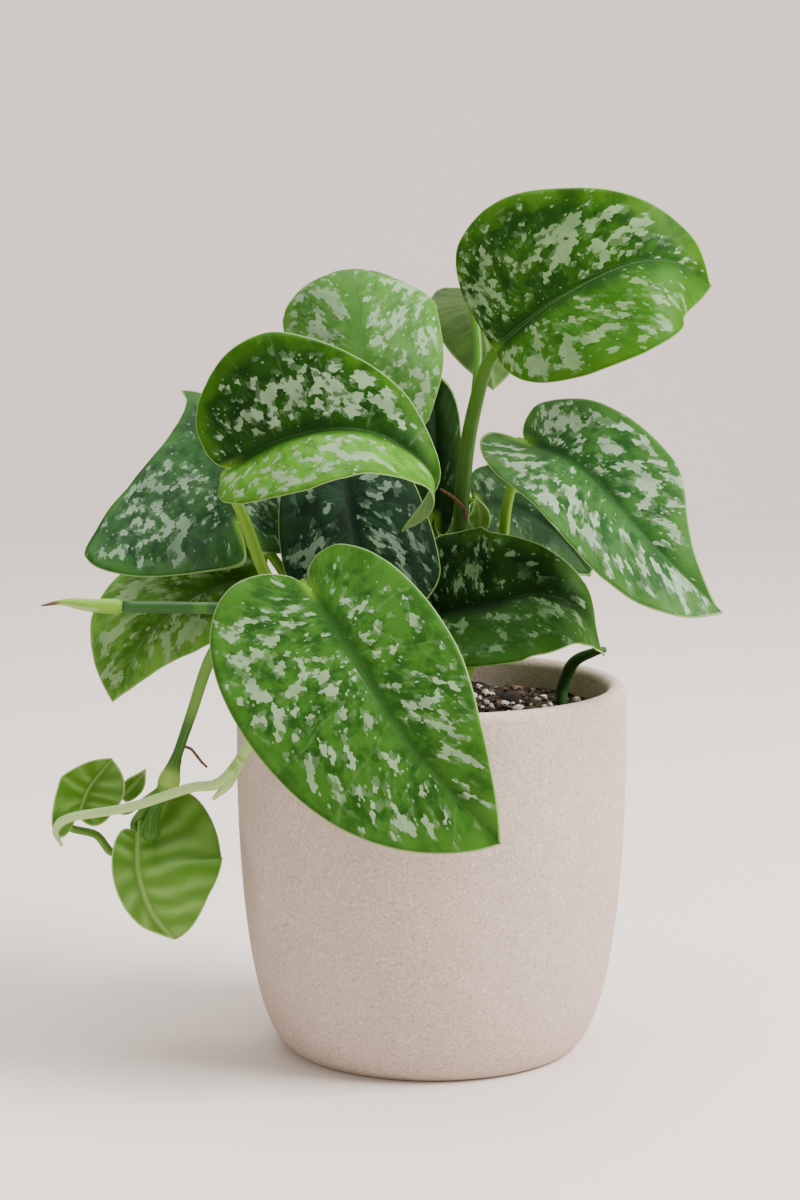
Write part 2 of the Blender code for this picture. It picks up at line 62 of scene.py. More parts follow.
# How a blade is laid out, as in the solids
ROOT_END = 0.15  # share of the margin from the sinus to the bottom of the lobe
WIDEST_END = 0.5  # share of the margin from the sinus to the widest point
VEIN_START = 1.9  # a side vein leaves the midrib at its share of the margin to this power
VEIN_SWEEP = 1.25  # and sweeps forward with its share of the way out to this power
ROW_SPREAD = 0.95  # a row's share of the margin is its share of the rows to this power
REACH = 0.04  # the midrib's direction is taken over this share to both sides
LINE_STEPS = 24  # steps between two given points of a midrib
MARGIN_THINNING = 0.55  # a blade is thinner by this share at its margin

# A half of a blade: its width and its lobe's reach behind the base, where it is widest and how full it stays
# towards the tip as shares, the fold at the midrib and the bend out to the margin in degrees, and how far
# out its lobe's lowest point lies, as a share.
Half = namedtuple("Half", "width lobe widest full fold curl root", defaults=(0.42,))
# A blade: points along its midrib, the way its upper face looks along it, and its two halves.
Blade = namedtuple("Blade", "midrib faces left right")

BLADES = {
    "leaf_top_right": Blade(
        ((21, -5, 243), (42, -13, 260), (66, -15, 272), (83, -9, 272), (95, 0, 264)),
        ((0, -0.8, 0.6), (0, -0.85, 0.5), (0.1, -0.9, 0.4)),
        Half(42, 0, 0.25, 0.22, 12, -8),
        Half(34, 0, 0.5, 0.56, 10, -8, 0.12),
    ),
    "leaf_right": Blade(
        ((32, -8, 212), (50, -22, 204), (72, -42, 181), (95, -50, 159)),
        ((-0.1, -0.75, 0.65), (0.15, -0.8, 0.55), (0.3, -0.8, 0.45)),
        Half(26, 5, 0.42, 0.08, 14, -10),
        Half(25, 14, 0.5, 0.7, 16, -20, 0.2),
    ),
    "leaf_top_back": Blade(
        ((-24, 16, 216), (-25, 24, 242), (-29, 46, 268), (-32, 78, 262)),
        ((0, -0.95, 0.3), (0, -0.8, 0.6), (0, 0, 1)),
        Half(31, 5, 0.5, 0.6, -8, -50),
        Half(34, 5, 0.5, 0.6, -8, -35),
    ),
    "leaf_centre": Blade(
        ((-68, -18, 204), (-49, -26, 214), (-29, -32, 218), (-13, -34, 214), (0, -32, 201), (-10, -25, 183)),
        ((0, -0.7, 0.7), (0, -0.75, 0.65), (0.3, -0.7, 0.6), (0.8, -0.4, 0.3), (0.5, 0.2, -0.7)),
        Half(39, 8, 0.22, -0.15, 22, -5),
        Half(32, 2, 0.36, 0.3, 22, -10),
    ),
    "leaf_left": Blade(
        ((-66, -6, 184), (-71.5, 5, 196.5), (-79, 23, 213), (-89, 44, 226)),
        ((0.3, -0.8, 0.6), (0.1, -0.75, 0.65), (0, -0.6, 0.7)),
        Half(54, 18, 0.03, -0.1, -6, -12, 0.08),
        Half(30, 15, 0.0, 0.5, -6, -10, 0.06),
    ),
    "leaf_front": Blade(
        ((-40, -58, 168), (-27, -72, 151), (-12, -84, 128), (2, -90, 111), (21, -92, 91)),
        ((-0.1, -0.8, 0.6), (0, -0.93, 0.3), (0, -1, 0)),
        Half(30, 10, 0.36, 0.4, 6, -10),
        Half(44, 14, 0.28, 0.5, 8, -14),
    ),
    "leaf_low_right": Blade(
        ((-1, -6, 152), (17, -20, 157), (34, -26, 162), (49, -23, 157), (59, -14, 139)),
        ((0, -0.8, 0.55), (0, -0.8, 0.6), (0.4, -0.7, 0.5), (0.9, -0.3, 0.2)),
        Half(31, 8, 0.2, 0.0, 14, -14, 0.8),
        Half(27, 2, 0.45, 0.3, 14, -10),
    ),
    "leaf_middle": Blade(
        ((-30, 4, 201), (-28, -6, 189), (-24, -17, 168), (-20, -21, 145)),
        ((0, -0.6, 0.8), (0, -0.85, 0.5), (0, -0.95, 0.3)),
        Half(27, 6, 0.65, 0.5, 10, -20),
        Half(26, 6, 0.5, 0.5, 10, -20),
    ),
    "leaf_low_left": Blade(
        ((-60, 10, 164), (-78, 3, 160), (-97, -5, 146), (-110, -8, 122)),
        ((-0.2, -0.6, 0.75), (-0.3, -0.8, 0.5), (-0.3, -0.9, 0.3)),
        Half(20, 6, 0.4, 0.3, 8, -20),
        Half(26, 6, 0.5, 0.5, 8, -20),
    ),
    "leaf_back_dark": Blade(
        ((1, 24, 183), (2, 35, 205), (1, 48, 232)),
        ((0, -0.9, 0.4), (0, -0.95, 0.2)),
        Half(16, 8, 0.5, 0.5, 10, -20),
        Half(9, 8, 0.6, 0.7, 10, -20),
    ),
    "leaf_behind_right": Blade(
        ((16, 21, 189), (32, 24, 185), (45, 22, 176), (56, 15, 163)),
        ((0, -0.7, 0.7), (0.1, -0.8, 0.6)),
        Half(19, 3, 0.4, 0.5, 10, -20),
        Half(18, 3, 0.5, 0.5, 10, -20),
    ),
    "leaf_top_behind": Blade(
        ((15, 60, 261), (19, 80, 249), (24, 92, 223)),
        ((0, 0.7, 0.7), (0, 0.9, 0.4)),
        Half(18, 3, 0.4, 0.4, 10, -10),
        Half(20, 3, 0.4, 0.5, 10, -10),
    ),
    "leaf_rear_middle": Blade(
        ((-10, 43, 199), (-20, 62, 206), (-30, 84, 190), (-36, 98, 164)),
        ((0, 0.2, 1), (-0.2, 0.6, 0.8), (-0.2, 0.9, 0.3)),
        Half(28, 8, 0.4, 0.5, 8, -20),
        Half(28, 8, 0.4, 0.5, 8, -20),
    ),
    "leaf_rear_right": Blade(
        ((22, 30, 175), (28, 52, 180), (34, 76, 164), (34, 90, 140)),
        ((0, 0.2, 1), (0.1, 0.6, 0.8), (0.1, 0.9, 0.3)),
        Half(22, 7, 0.4, 0.5, 8, -20),
        Half(22, 7, 0.4, 0.5, 8, -20),
    ),
    "leaf_rear_left": Blade(
        ((-48, 26, 172), (-62, 42, 176), (-80, 58, 162), (-88, 64, 140)),
        ((0, 0.1, 1), (-0.3, 0.5, 0.8), (-0.5, 0.8, 0.3)),
        Half(20, 6, 0.4, 0.5, 8, -20),
        Half(20, 6, 0.4, 0.5, 8, -20),
    ),
    "leaf_young_front": Blade(
        ((-100, -30, 81), (-99, -38, 69), (-95, -36, 55), (-88, -28, 43)),
        ((0.3, -0.8, 0.5), (0.2, -1, 0), (0, -0.8, -0.6)),
        Half(29, 17, 0.28, 0.5, 10, -10),
        Half(9, 1, 0.3, 0.35, 10, -10),
    ),
    "leaf_young_left": Blade(
        ((-120, -26, 87), (-117, -22, 95), (-109, -22, 105)),
        ((0.5, -0.8, 0), (0.5, -0.8, 0)),
        Half(20, 12, 0.15, 0.6, 30, 5),
        Half(12, 3, 0.5, 0.7, 30, 5),
    ),
    "leaf_young_behind": Blade(
        ((-106, -17, 91), (-102, -15, 95), (-98, -15, 100)),
        ((0.5, -0.8, 0), (0.5, -0.8, 0)),
        Half(4, 1, 0.4, 0.3, 15, 5),
        Half(4, 1, 0.4, 0.3, 15, 5),
    ),
    "sheath_centre": Blade(
        ((16.5, 2.5, 181), (17, 1.5, 186.5), (15, 0.5, 192.5)),
        ((-0.3, -0.9, 0.2), (-0.3, -0.9, 0.2)),
        Half(4.5, 0, 0.3, 0.2, 20, 10),
        Half(4.5, 0, 0.3, 0.2, 20, 10),
    ),
}

# What a blade looks like: the green of its clouds, its main green and the green near its margin, its silver,
# how much of it is silver, how rough its sheen is, and where patches gather or stay away: (share along the
# margin, share out with the left half negative, how far they spread in those two, and how strongly). The
# last one is painted light: a lighter green on the right half that stands for light shining through it from
# behind.
Look = namedtuple("Look", "deep green edge silver cover gloss patches right", defaults=((), None))

LOOKS = {
    "leaf_top_right": Look(
        (0.008, 0.05, 0.002), (0.028, 0.11, 0.004), (0.06, 0.18, 0.006), (0.29, 0.47, 0.2), 0.03, 0.46,
        ((0.75, -0.9, 0.2, 0.35, -0.06), (0.5, -0.5, 0.2, 0.3, -0.04), (0.55, 0.5, 0.3, 0.4, 0.02)),
        (0.032, 0.12, 0.005),
    ),
    "leaf_right": Look(
        (0.016, 0.075, 0.012), (0.045, 0.145, 0.024), (0.065, 0.18, 0.03), (0.42, 0.58, 0.36), 0.045, 0.44,
    ),
    # Painted light: leaf_top_back's greens are lighter than the other leaves', standing for light that shines
    # through it from behind.
    "leaf_top_back": Look(
        (0.048, 0.15, 0.018), (0.075, 0.21, 0.03), (0.09, 0.26, 0.025), (0.33, 0.5, 0.27), 0.035, 0.5,
    ),
    "leaf_centre": Look(
        (0.006, 0.038, 0.001), (0.015, 0.072, 0.002), (0.05, 0.16, 0.005), (0.36, 0.52, 0.28), -0.01, 0.42,
        ((0.3, -0.95, 0.35, 0.35, -0.12), (0.6, -0.45, 0.2, 0.3, 0.06), (0.45, 0.75, 0.3, 0.3, 0.05)),
        (0.085, 0.25, 0.018),
    ),
    "leaf_left": Look(
        (0.007, 0.042, 0.008), (0.022, 0.085, 0.014), (0.04, 0.13, 0.02), (0.26, 0.4, 0.24), -0.01, 0.4,
    ),
    "leaf_front": Look(
        (0.016, 0.072, 0.006), (0.045, 0.15, 0.014), (0.06, 0.19, 0.018), (0.36, 0.53, 0.28), 0.0, 0.46,
        ((0.25, -0.85, 0.25, 0.4, -0.1), (0.15, 0.8, 0.15, 0.4, -0.08)),
    ),
    "leaf_low_right": Look(
        (0.003, 0.022, 0.001), (0.01, 0.05, 0.002), (0.04, 0.13, 0.01), (0.22, 0.38, 0.17), 0.015, 0.5,
        ((0.35, -0.85, 0.3, 0.3, -0.06), (0.4, 0.6, 0.3, 0.25, 0.07)), (0.022, 0.09, 0.006),
    ),
    "leaf_middle": Look(
        (0.003, 0.014, 0.005), (0.009, 0.036, 0.012), (0.014, 0.05, 0.016), (0.2, 0.31, 0.19), 0.0, 0.52,
    ),
    "leaf_low_left": Look(
        (0.045, 0.14, 0.01), (0.12, 0.29, 0.035), (0.16, 0.38, 0.045), (0.36, 0.56, 0.24), 0.05, 0.46,
    ),
    # Painted shade: leaf_back_dark lies deep among the other leaves, and its greens and silver are painted
    # darker than theirs.
    "leaf_back_dark": Look(
        (0.003, 0.018, 0.002), (0.009, 0.04, 0.005), (0.02, 0.065, 0.008), (0.1, 0.18, 0.08), 0.0, 0.5,
    ),
    # Painted shade: leaf_behind_right lies behind the front leaves, and its greens and silver are painted
    # darker than theirs.
    "leaf_behind_right": Look(
        (0.006, 0.028, 0.006), (0.018, 0.06, 0.012), (0.03, 0.09, 0.014), (0.16, 0.26, 0.13), 0.0, 0.5,
    ),
    "leaf_top_behind": Look(
        (0.03, 0.1, 0.006), (0.05, 0.16, 0.01), (0.07, 0.21, 0.012), (0.32, 0.48, 0.24), 0.0, 0.46,
    ),
    "leaf_rear_middle": Look(
        (0.016, 0.065, 0.007), (0.042, 0.135, 0.014), (0.06, 0.18, 0.02), (0.34, 0.5, 0.27), 0.02, 0.46,
    ),
    "leaf_rear_right": Look(
        (0.014, 0.055, 0.007), (0.038, 0.125, 0.014), (0.06, 0.17, 0.02), (0.32, 0.48, 0.26), 0.02, 0.46,
    ),
    "leaf_rear_left": Look(
        (0.016, 0.065, 0.008), (0.042, 0.13, 0.016), (0.06, 0.17, 0.02), (0.33, 0.49, 0.27), 0.02, 0.46,
    ),
}
YOUNG = ("leaf_young_front", "leaf_young_left", "leaf_young_behind", "sheath_centre")

# A tube: points along it and its radius at even steps. "foot" starts it upright in the soil, and "blade"
# ends it under the base of that leaf.
Tube = namedtuple("Tube", "points radii foot blade", defaults=(False, None))

STEMS = {
    "stem_centre": (
        Tube(((8, 7, 118), (8, 7, 130), (9, 8, 148)), (3.2, 3.0, 2.4), True),
        Tube(
            ((8, 7, 126), (9, 8, 150), (10, 8, 180), (12, 6, 207), (16, 2, 228)),
            (2.6, 2.7, 2.0),
            blade="leaf_top_right",
        ),
        Tube(((8, 7, 128), (8, 14, 150), (5, 20, 168)), (1.8, 1.4), blade="leaf_back_dark"),
        Tube(((9, 8, 132), (12, 17, 155), (12, 22, 172)), (1.8, 1.4), blade="leaf_behind_right"),
        Tube(
            ((8, 8, 136), (9, 14, 165), (11.5, 22, 192), (14.5, 32, 215), (17, 44, 240)),
            (1.8, 1.4),
            blade="leaf_top_behind",
        ),
        Tube(((8, 7, 124), (2, 2, 132), (-5, -1, 142)), (2.0, 1.5), blade="leaf_low_right"),
        Tube(((9, 8, 150), (12, 4.5, 162), (15, 5, 173)), (1.4, 1.0), blade="sheath_centre"),
    ),
    "stem_right": (
        Tube(
            ((9, -5, 118), (10, -4, 126), (18, 3, 146), (24, 6, 170), (26, 5, 188), (29, 2, 202)),
            (2.4, 2.0, 1.8, 1.5),
            True,
            "leaf_right",
        ),
        Tube(((12, -2, 132), (18, 14, 150), (19, 22, 166)), (1.8, 1.4), blade="leaf_rear_right"),
    ),
    "stem_left": (
        Tube(
            ((-24, 2, 118), (-27, 0, 130), (-44, -14, 150), (-56, -19, 167), (-64, -19, 188)),
            (3.0, 2.2, 1.7),
            True,
            "leaf_centre",
        ),
        Tube(((-25, 2, 124), (-29, 12, 155), (-30, 16, 188)), (2.0, 1.5), blade="leaf_middle"),
        Tube(((-26, 1, 126), (-42, 4, 150), (-56, 4, 172)), (2.0, 1.5), blade="leaf_left"),
        Tube(((-25, 2, 122), (-38, 14, 146), (-48, 15, 160)), (2.0, 1.5), blade="leaf_low_left"),
    ),
    "stem_back": (
        Tube(
            ((-12, 22, 118), (-12, 22, 130), (-16, 27, 165), (-22, 24, 195)),
            (2.8, 2.2, 1.6),
            True,
            "leaf_top_back",
        ),
        Tube(((-12, 22, 126), (-9, 27, 155), (-8, 28, 185)), (1.8, 1.4), blade="leaf_rear_middle"),
        Tube(((-12, 22, 124), (-28, 26, 145), (-40, 24, 164)), (1.8, 1.4), blade="leaf_rear_left"),
    ),
    "petiole_front": (
        Tube(
            ((-12, -14, 118), (-14, -18, 130), (-26, -35, 151), (-35.5, -48.5, 164)),
            (2.6, 2.2, 1.8),
            True,
            "leaf_front",
        ),
    ),
    "vine_tip": (
        Tube(
            (
                (-14, -2, 118), (-20, -10, 132), (-33, -25, 147), (-48, -29, 157), (-71, -28, 157.5),
                (-104, -28, 158),
            ),
            (2.4, 2.0, 2.0),
            True,
        ),
    ),
    "sheath_tip": (
        Tube(
            ((-104.1, -28, 158), (-114, -28.5, 158.5), (-124, -28, 159.5), (-131.5, -28, 158.3)),
            (2.1, 2.6, 2.5, 2.3, 2.2, 2.0, 1.7, 1.2, 0.75, 0.65, 0.5, 0.2),
        ),
    ),
    "vine_trailing": (
        Tube(
            (
                (-32, -18, 118), (-38, -21, 132), (-52, -26, 148), (-65, -28, 151), (-74, -28, 142),
                (-81.5, -28, 121), (-88, -28, 102), (-90.5, -28, 93),
            ),
            (
                2.0, 2.0, 2.0, 2.0, 2.0, 2.0, 2.0, 2.0, 2.1, 2.1, 2.1, 2.1, 2.1, 2.1, 2.1, 2.1, 2.05, 2.0,
                2.0, 1.95, 1.9, 1.8, 1.7, 1.75, 2.5, 3.7, 3.8, 3.4, 2.4,
            ),
            True,
        ),
        Tube(((-91, -28, 96), (-96, -29, 90)), (2.0, 1.2), blade="leaf_young_front"),
        Tube(((-91, -28, 95), (-94, -33, 88), (-95, -35, 82), (-95, -35, 79)), (1.6, 2.2, 3.4, 1.2)),
        Tube(
            (
                (-89.5, -27, 99), (-91, -16, 96), (-98, -11, 84), (-104, -12, 73), (-110, -16, 71),
                (-115, -20, 78),
            ),
            (1.4, 1.5, 1.3),
            blade="leaf_young_left",
        ),
        Tube(((-90, -26, 97), (-98, -17, 90), (-105, -16, 85)), (1.0, 0.8), blade="leaf_young_behind"),
    ),
    "vine_front": (
        Tube(
            (
                (-18, -31, 118), (-24, -36, 130), (-40, -46, 141), (-54, -52, 128), (-63, -50.5, 111),
                (-71, -49, 102), (-81, -48, 100), (-101, -45, 93), (-121, -43, 89), (-126, -42, 84.5),
                (-124, -42, 79),
            ),
            (2.2, 2.2, 2.2, 2.0, 1.7, 1.6, 1.5, 0.5),
            True,
        ),
        Tube(((-63, -51, 111), (-68, -48, 101.5), (-73, -46, 96)), (1.9, 1.7, 0.6)),
    ),
    "shoot_right": (
        Tube(
            ((46, 14, 118), (46.5, 14, 124), (50, 10, 133), (56.5, 4, 137.5), (60, 0, 139)),
            (2.0, 2.2, 1.1),
            True,
        ),
    ),
}

ROOTS = {
    "root_centre": Tube(
        ((11.6, 4.2, 184.5), (11, 2.5, 188), (7.7, 2, 191.6), (2.9, 3, 194.6)),
        (0.7, 0.6, 0.5),
    ),
    "root_trailing": Tube(
        (
            (-85.4, -28.2, 110.5), (-81.9, -28.7, 109.8), (-80, -29.5, 108), (-78, -30, 105.5),
            (-76, -30, 103.5),
        ),
        (0.6, 0.5, 0.5, 0.4),
    ),
}

STEM_DEPTH = 22.0  # a foot stands this deep in the soil
FOOT_RINGS = 5
SEAT_BEHIND = 5.0  # a stalk comes in this far behind the base of its leaf,
SEAT_RISE = 2.0  # this far below it,
SEAT_PAST = 1.5  # and ends this far past it
TUBE_STEPS = 9  # rings between two given points of a stalk
ROOT_SIDES = 10

# The green of each stem from its foot to its end, and its slot, which picks its finish and its stripes
STEM_GREENS = {
    "stem_centre": ((0.018, 0.07, 0.003), (0.06, 0.17, 0.01), "stem"),
    "stem_right": ((0.08, 0.2, 0.012), (0.15, 0.31, 0.025), "stem"),
    "stem_left": ((0.08, 0.2, 0.012), (0.17, 0.33, 0.025), "stem"),
    "stem_back": ((0.06, 0.16, 0.01), (0.12, 0.26, 0.02), "stem"),
    "petiole_front": ((0.08, 0.2, 0.012), (0.17, 0.33, 0.03), "stem"),
    "vine_tip": ((0.028, 0.1, 0.01), (0.028, 0.095, 0.018), "stem_dark"),
    "sheath_tip": ((0.15, 0.34, 0.02), (0.19, 0.38, 0.03), "sheath"),
    "vine_trailing": ((0.13, 0.26, 0.04), (0.11, 0.24, 0.035), "stem"),
    "vine_front": ((0.3, 0.47, 0.14), (0.38, 0.56, 0.2), "stem_pale"),
    "shoot_right": ((0.02, 0.06, 0.012), (0.025, 0.08, 0.012), "stem_dark"),
}

# Rings at the nodes of a stem: the number of its tube, the share along that, half the ring's width as a
# share, and its colour
NODE_BANDS = {
    "vine_trailing": (
        (0, 0.8, 0.09, (0.035, 0.11, 0.012)),
        (0, 0.9, 0.05, (0.24, 0.4, 0.07)),
        (1, 0.5, 1.5, (0.06, 0.16, 0.015)),
        (2, 0.5, 1.5, (0.04, 0.12, 0.01)),
    ),
    "vine_tip": ((0, 0.86, 0.02, (0.06, 0.16, 0.02)), (0, 0.72, 0.015, (0.05, 0.14, 0.02))),
    "vine_front": ((0, 0.45, 0.03, (0.2, 0.36, 0.07)),),
}

# Pot and soil, as in the solids
POT_HEIGHT = 128.0
BASE_RADIUS = 49.0
BODY_RADIUS = 67.6
LIP_WIDTH = 6.7
WALL_START = 95.0
INSIDE_RADIUS = BODY_RADIUS - LIP_WIDTH
FLOOR_RADIUS = 42.0
FLOOR_THICKNESS = 8.0
SOIL_TOP = 118.0
SOIL_GAP = 0.3  # between the soil and the pot
SOIL_SIDES = 220

# Silver marks: sizes in mm, and levels of the noise that picks the cells
CELL_SIZE = 1.15
PATCH_SIZE = 3.6
BAND_SIZE = 17.0
BAND_SHARE = 0.28
RAG_SIZE = 1.1
RAG_REACH = 1.4
SILVER_LEVEL = (0.57, 0.58)
VEIL_LEVEL = (0.51, 0.56)
VEIL_SHARE = 0.25
SPECK_SPACING = 1.9
SPECK_SHARE = 0.7

# Colours that stay the same on every piece of a kind
LEAF_BASE = (0.13, 0.28, 0.02)
OLIVE_UNDER = (0.06, 0.17, 0.02)
YOUNG_CLOUD = (0.1, 0.24, 0.025)
YOUNG_RIB = (0.3, 0.46, 0.14)
YOUNG_MARGIN = (0.32, 0.46, 0.16)
SHEATH_SLIT = (0.48, 0.58, 0.26)
SHEATH_BASE = (0.1, 0.24, 0.02)
DRY_BROWN = ((0.035, 0.02, 0.01), (0.13, 0.085, 0.04))
PALE_SAND = (0.82, 0.75, 0.68)
DARK_SPECK = (0.16, 0.12, 0.09)

# Studio, in metres: the floor bends up into the backdrop, and the camera stands where the photo's did
FLOOR_REACH = 3.0
BEND_START = 1.6
BEND_RADIUS = 1.2
BEND_STEPS = 24
BACKDROP_TOP = 4.0
PLANT_MIDDLE = (0.0, 0.0, 0.16)
CAMERA_PLACE = (-0.0109, -0.97, 0.291)
ROOM_TINT = (1.0, 0.985, 0.97, 1.0)


def shared(a, b, share):
    """The value at a share of the way from a to b."""
    return a + (b - a) * share


def bezier(p0, p1, p2, p3, t):
    """A point of a cubic curve."""
    u = 1 - t
    return p0 * u**3 + 3 * p1 * u * u * t + 3 * p2 * u * t * t + p3 * t**3


def unit(vectors):
    """The vectors at length 1."""
    return vectors / np.maximum(np.linalg.norm(vectors, axis=-1, keepdims=True), 1e-9)


def smoothstep(value, low, high):
    """0 below low, 1 above high, and a soft rise between."""
    share = np.clip((value - low) / (high - low), 0, 1)
    return share * share * (3 - 2 * share)


def bell(distance, width):
    """1 at no distance, and nearly 0 from twice the width."""
    return np.exp(-((distance / width) ** 2))


def scaled(colour, share, lift=0.0):
    """A colour made darker or lighter, at most white."""
    return tuple(min(share * part + lift, 1.0) for part in colour)


def rough(points, size):
    """Smooth noise from -1 to 1 at each point, with lumps of the given size in mm."""
    flat = points.reshape(-1, 3) / size
    return np.array([noise.noise(Vector(point)) for point in flat]).reshape(points.shape[:-1])


def smooth_line(points, steps):
    """Points on a smooth curve through the given ones."""
    knots = np.array(points, float)
    knots = np.vstack([2 * knots[0] - knots[1], knots, 2 * knots[-1] - knots[-2]])
    a, b, c, d = (knots[first : len(knots) - 3 + first, None] for first in range(4))
    t = (np.arange(steps) / steps)[None, :, None]
    bend = (2 * a - 5 * b + 4 * c - d) * t**2 + (3 * b - a - 3 * c + d) * t**3
    line = (b + 0.5 * ((c - a) * t + bend)).reshape(-1, 3)
    return np.vstack([line, knots[-2]])


def spread(values, shares):
    """The values, at even steps from 0 to 1, read at each share."""
    values = np.array(values, float)
    steps = np.linspace(0, 1, len(values))
    if values.ndim == 1:
        return np.interp(shares, steps, values)
    return np.stack([np.interp(shares, steps, column) for column in values.T], axis=-1)


class Midrib:
    """A leaf's midrib, with the frame of the blade at any share of its length."""

    def __init__(self, blade):
        self.line = smooth_line(blade.midrib, LINE_STEPS)
        place = np.concatenate([[0], np.cumsum(np.linalg.norm(np.diff(self.line, axis=0), axis=1))])
        self.length = place[-1]
        self.shares = place / place[-1]
        self.faces = unit(np.array(blade.faces, float))

    def at(self, share):
        """The point at a share of the length."""
        return np.stack([np.interp(share, self.shares, column) for column in self.line.T], axis=-1)

    def frame(self, share):
        """The point, the way along, across to the right, and up; behind the base it runs straight on."""
        inside = np.clip(share, 0, 1)
        tangent = unit(self.at(inside + REACH) - self.at(inside - REACH))
        across = unit(np.cross(tangent, spread(self.faces, inside)))
        point = self.at(inside) + tangent * (np.minimum(share, 0) * self.length)[..., None]
        return point, tangent, across, np.cross(across, tangent)


def margin(half, length, t):
    """A half's outline from the sinus (t = 0) to the tip (t = 1): mm out from the midrib, share along it."""
    lobe = half.lobe / length
    low = half.root * half.width
    first = np.clip(t / ROOT_END, 0, 1)
    second = np.clip((t - ROOT_END) / (WIDEST_END - ROOT_END), 0, 1)
    third = np.clip((t - WIDEST_END) / (1 - WIDEST_END), 0, 1)
    shoulder = shared(half.widest, 1, 0.2 + 0.5 * half.full)
    turn = half.widest - 0.6 * (half.widest + lobe)
    outs = (
        bezier(0, 0.1 * low, 0.5 * low, low, first),
        bezier(low, shared(low, half.width, 0.55), half.width, half.width, second),
        bezier(half.width, half.width, half.full * half.width, 0, third),
    )
    places = (
        bezier(0, -0.7 * lobe, -lobe, -lobe, first),
        bezier(-lobe, -lobe, turn, half.widest, second),
        bezier(half.widest, shoulder, 0.8 + 0.2 * half.full, 1, third),
    )
    ranges = [t < ROOT_END, t < WIDEST_END]
    return np.select(ranges, outs[:2], outs[2]), np.select(ranges, places[:2], places[2])


# The middle sheet of a blade, with these at each of its points: the share along the margin and out to it, the
# half (-1 left, 1 right), mm from the midrib and to the margin, and the share along the midrib
Sheet = namedtuple("Sheet", "points normals t out side from_rib to_margin along midrib")


def blade_sheet(blade, rows, columns):
    """The middle sheet of a blade: a grid from the sinus to the tip and from the left to the right margin."""
    midrib = Midrib(blade)
    t = ((np.arange(rows + 1) / rows) ** ROW_SPREAD)[:, None]
    parts = []
    for half, side in ((blade.left, -1), (blade.right, 1)):
        out = np.linspace(0, 1, columns + 1)[None, :]
        width, place = margin(half, midrib.length, t)
        start = t**VEIN_START
        along = shared(start, place, out**VEIN_SWEEP)
        point, _, across, up = midrib.frame(along)
        distance = width * out
        fold = math.radians(half.fold)
        bend = math.radians(half.curl) / half.width
        sideways = (np.sin(fold + bend * distance) - math.sin(fold)) / bend
        lift = (math.cos(fold) - np.cos(fold + bend * distance)) / bend
        points = point + across * (side * sideways)[..., None] + up * lift[..., None]
        tilt = (fold + bend * distance)[..., None]
        facing = up * np.cos(tilt) - side * across * np.sin(tilt)
        layers = [points, facing, np.broadcast_to(out, along.shape), distance, width - distance, along]
        parts.append([layer[:, ::-1] if side < 0 else layer[:, 1:] for layer in layers])
    points, facing, out, from_rib, to_margin, along = (np.concatenate(pair, axis=1) for pair in zip(*parts))
    normals = np.cross(np.gradient(points, axis=1), np.gradient(points, axis=0))
    normals *= np.sign(np.sum(normals * facing, axis=-1, keepdims=True) + 1e-12)
    weak = np.linalg.norm(normals, axis=-1, keepdims=True) < 1e-3
    normals = unit(np.where(weak, facing, normals))
    side = np.broadcast_to(np.sign(np.arange(-columns, columns + 1))[None, :], along.shape)
    t = np.broadcast_to(t, along.shape)
    return Sheet(points, normals, t, out, side, from_rib, to_margin, along, midrib)


def mesh_piece(name, points, faces, finishes, indices=None):
    """A smooth-shaded piece from points in mm that rides with the plant."""
    mesh = bpy.data.meshes.new(name)
    mesh.from_pydata((np.asarray(points) * MM).tolist(), [], faces)
    for finish in finishes:
        mesh.materials.append(finish)
    if indices is not None:
        mesh.polygons.foreach_set("material_index", indices)
    mesh.shade_smooth()
    mesh.update()
    piece = bpy.data.objects.new(name, mesh)
    bpy.context.scene.collection.objects.link(piece)
    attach(piece, BODY)
    return piece


def store(piece, name, values):
    """Keeps a number or three numbers at each point of a mesh, for its finish to read."""
    kind, field = ("FLOAT_VECTOR", "vector") if values.ndim == 2 else ("FLOAT", "value")
    attribute = piece.data.attributes.new(name, kind, "POINT")
    attribute.data.foreach_set(field, np.asarray(values, np.float32).ravel())


def store_on_blade(piece, name, values):
    """Keeps the numbers of a blade's sheet on its upper and its lower face."""
    flat = values.reshape(-1, 3) if values.ndim == 3 else values.ravel()
    store(piece, name, np.concatenate([flat, flat]))


def grid_faces(rows, columns, first=0):
    """Quads of a grid of (rows + 1) x (columns + 1) points."""
    start = first + np.arange(rows)[:, None] * (columns + 1) + np.arange(columns)[None, :]
    corners = np.stack([start, start + 1, start + columns + 2, start + columns + 1], axis=-1)
    return corners.reshape(-1, 4)


def blade_piece(name, sheet, upper, lower, thickness, rib, finishes):
    """A closed blade from its sheet: upper and lower faces lifted by their relief, and a thin rim."""
    rows, columns = sheet.t.shape[0] - 1, sheet.t.shape[1] - 1
    taper = 1 - MARGIN_THINNING * sheet.out**6
    top = sheet.points + sheet.normals * (thickness / 2 * taper + upper)[..., None]
    bottom = sheet.points - sheet.normals * (thickness / 2 * taper + rib - lower)[..., None]
    count = (rows + 1) * (columns + 1)
    faces_top = grid_faces(rows, columns)
    faces_bottom = grid_faces(rows, columns, count)[:, ::-1]
    edge = np.arange(rows)[:, None] * (columns + 1)
    left = np.concatenate([edge, edge + columns + 1, edge + columns + 1 + count, edge + count], axis=1)
    right = (left + columns)[:, ::-1]
    faces = np.concatenate([faces_top, faces_bottom, left, right]).tolist()
    indices = [0] * len(faces_top) + [1] * len(faces_bottom) + [0] * (2 * rows)
    points = np.concatenate([top.reshape(-1, 3), bottom.reshape(-1, 3)])
    piece = mesh_piece(name, points, faces, finishes, indices)
    row = sheet.t * sheet.midrib.length * sheet.side
    store_on_blade(piece, "veins", np.stack([row, sheet.from_rib, sheet.side], axis=-1))
    store_on_blade(piece, "edges", np.stack([sheet.from_rib, sheet.to_margin, sheet.along], axis=-1))
    return piece


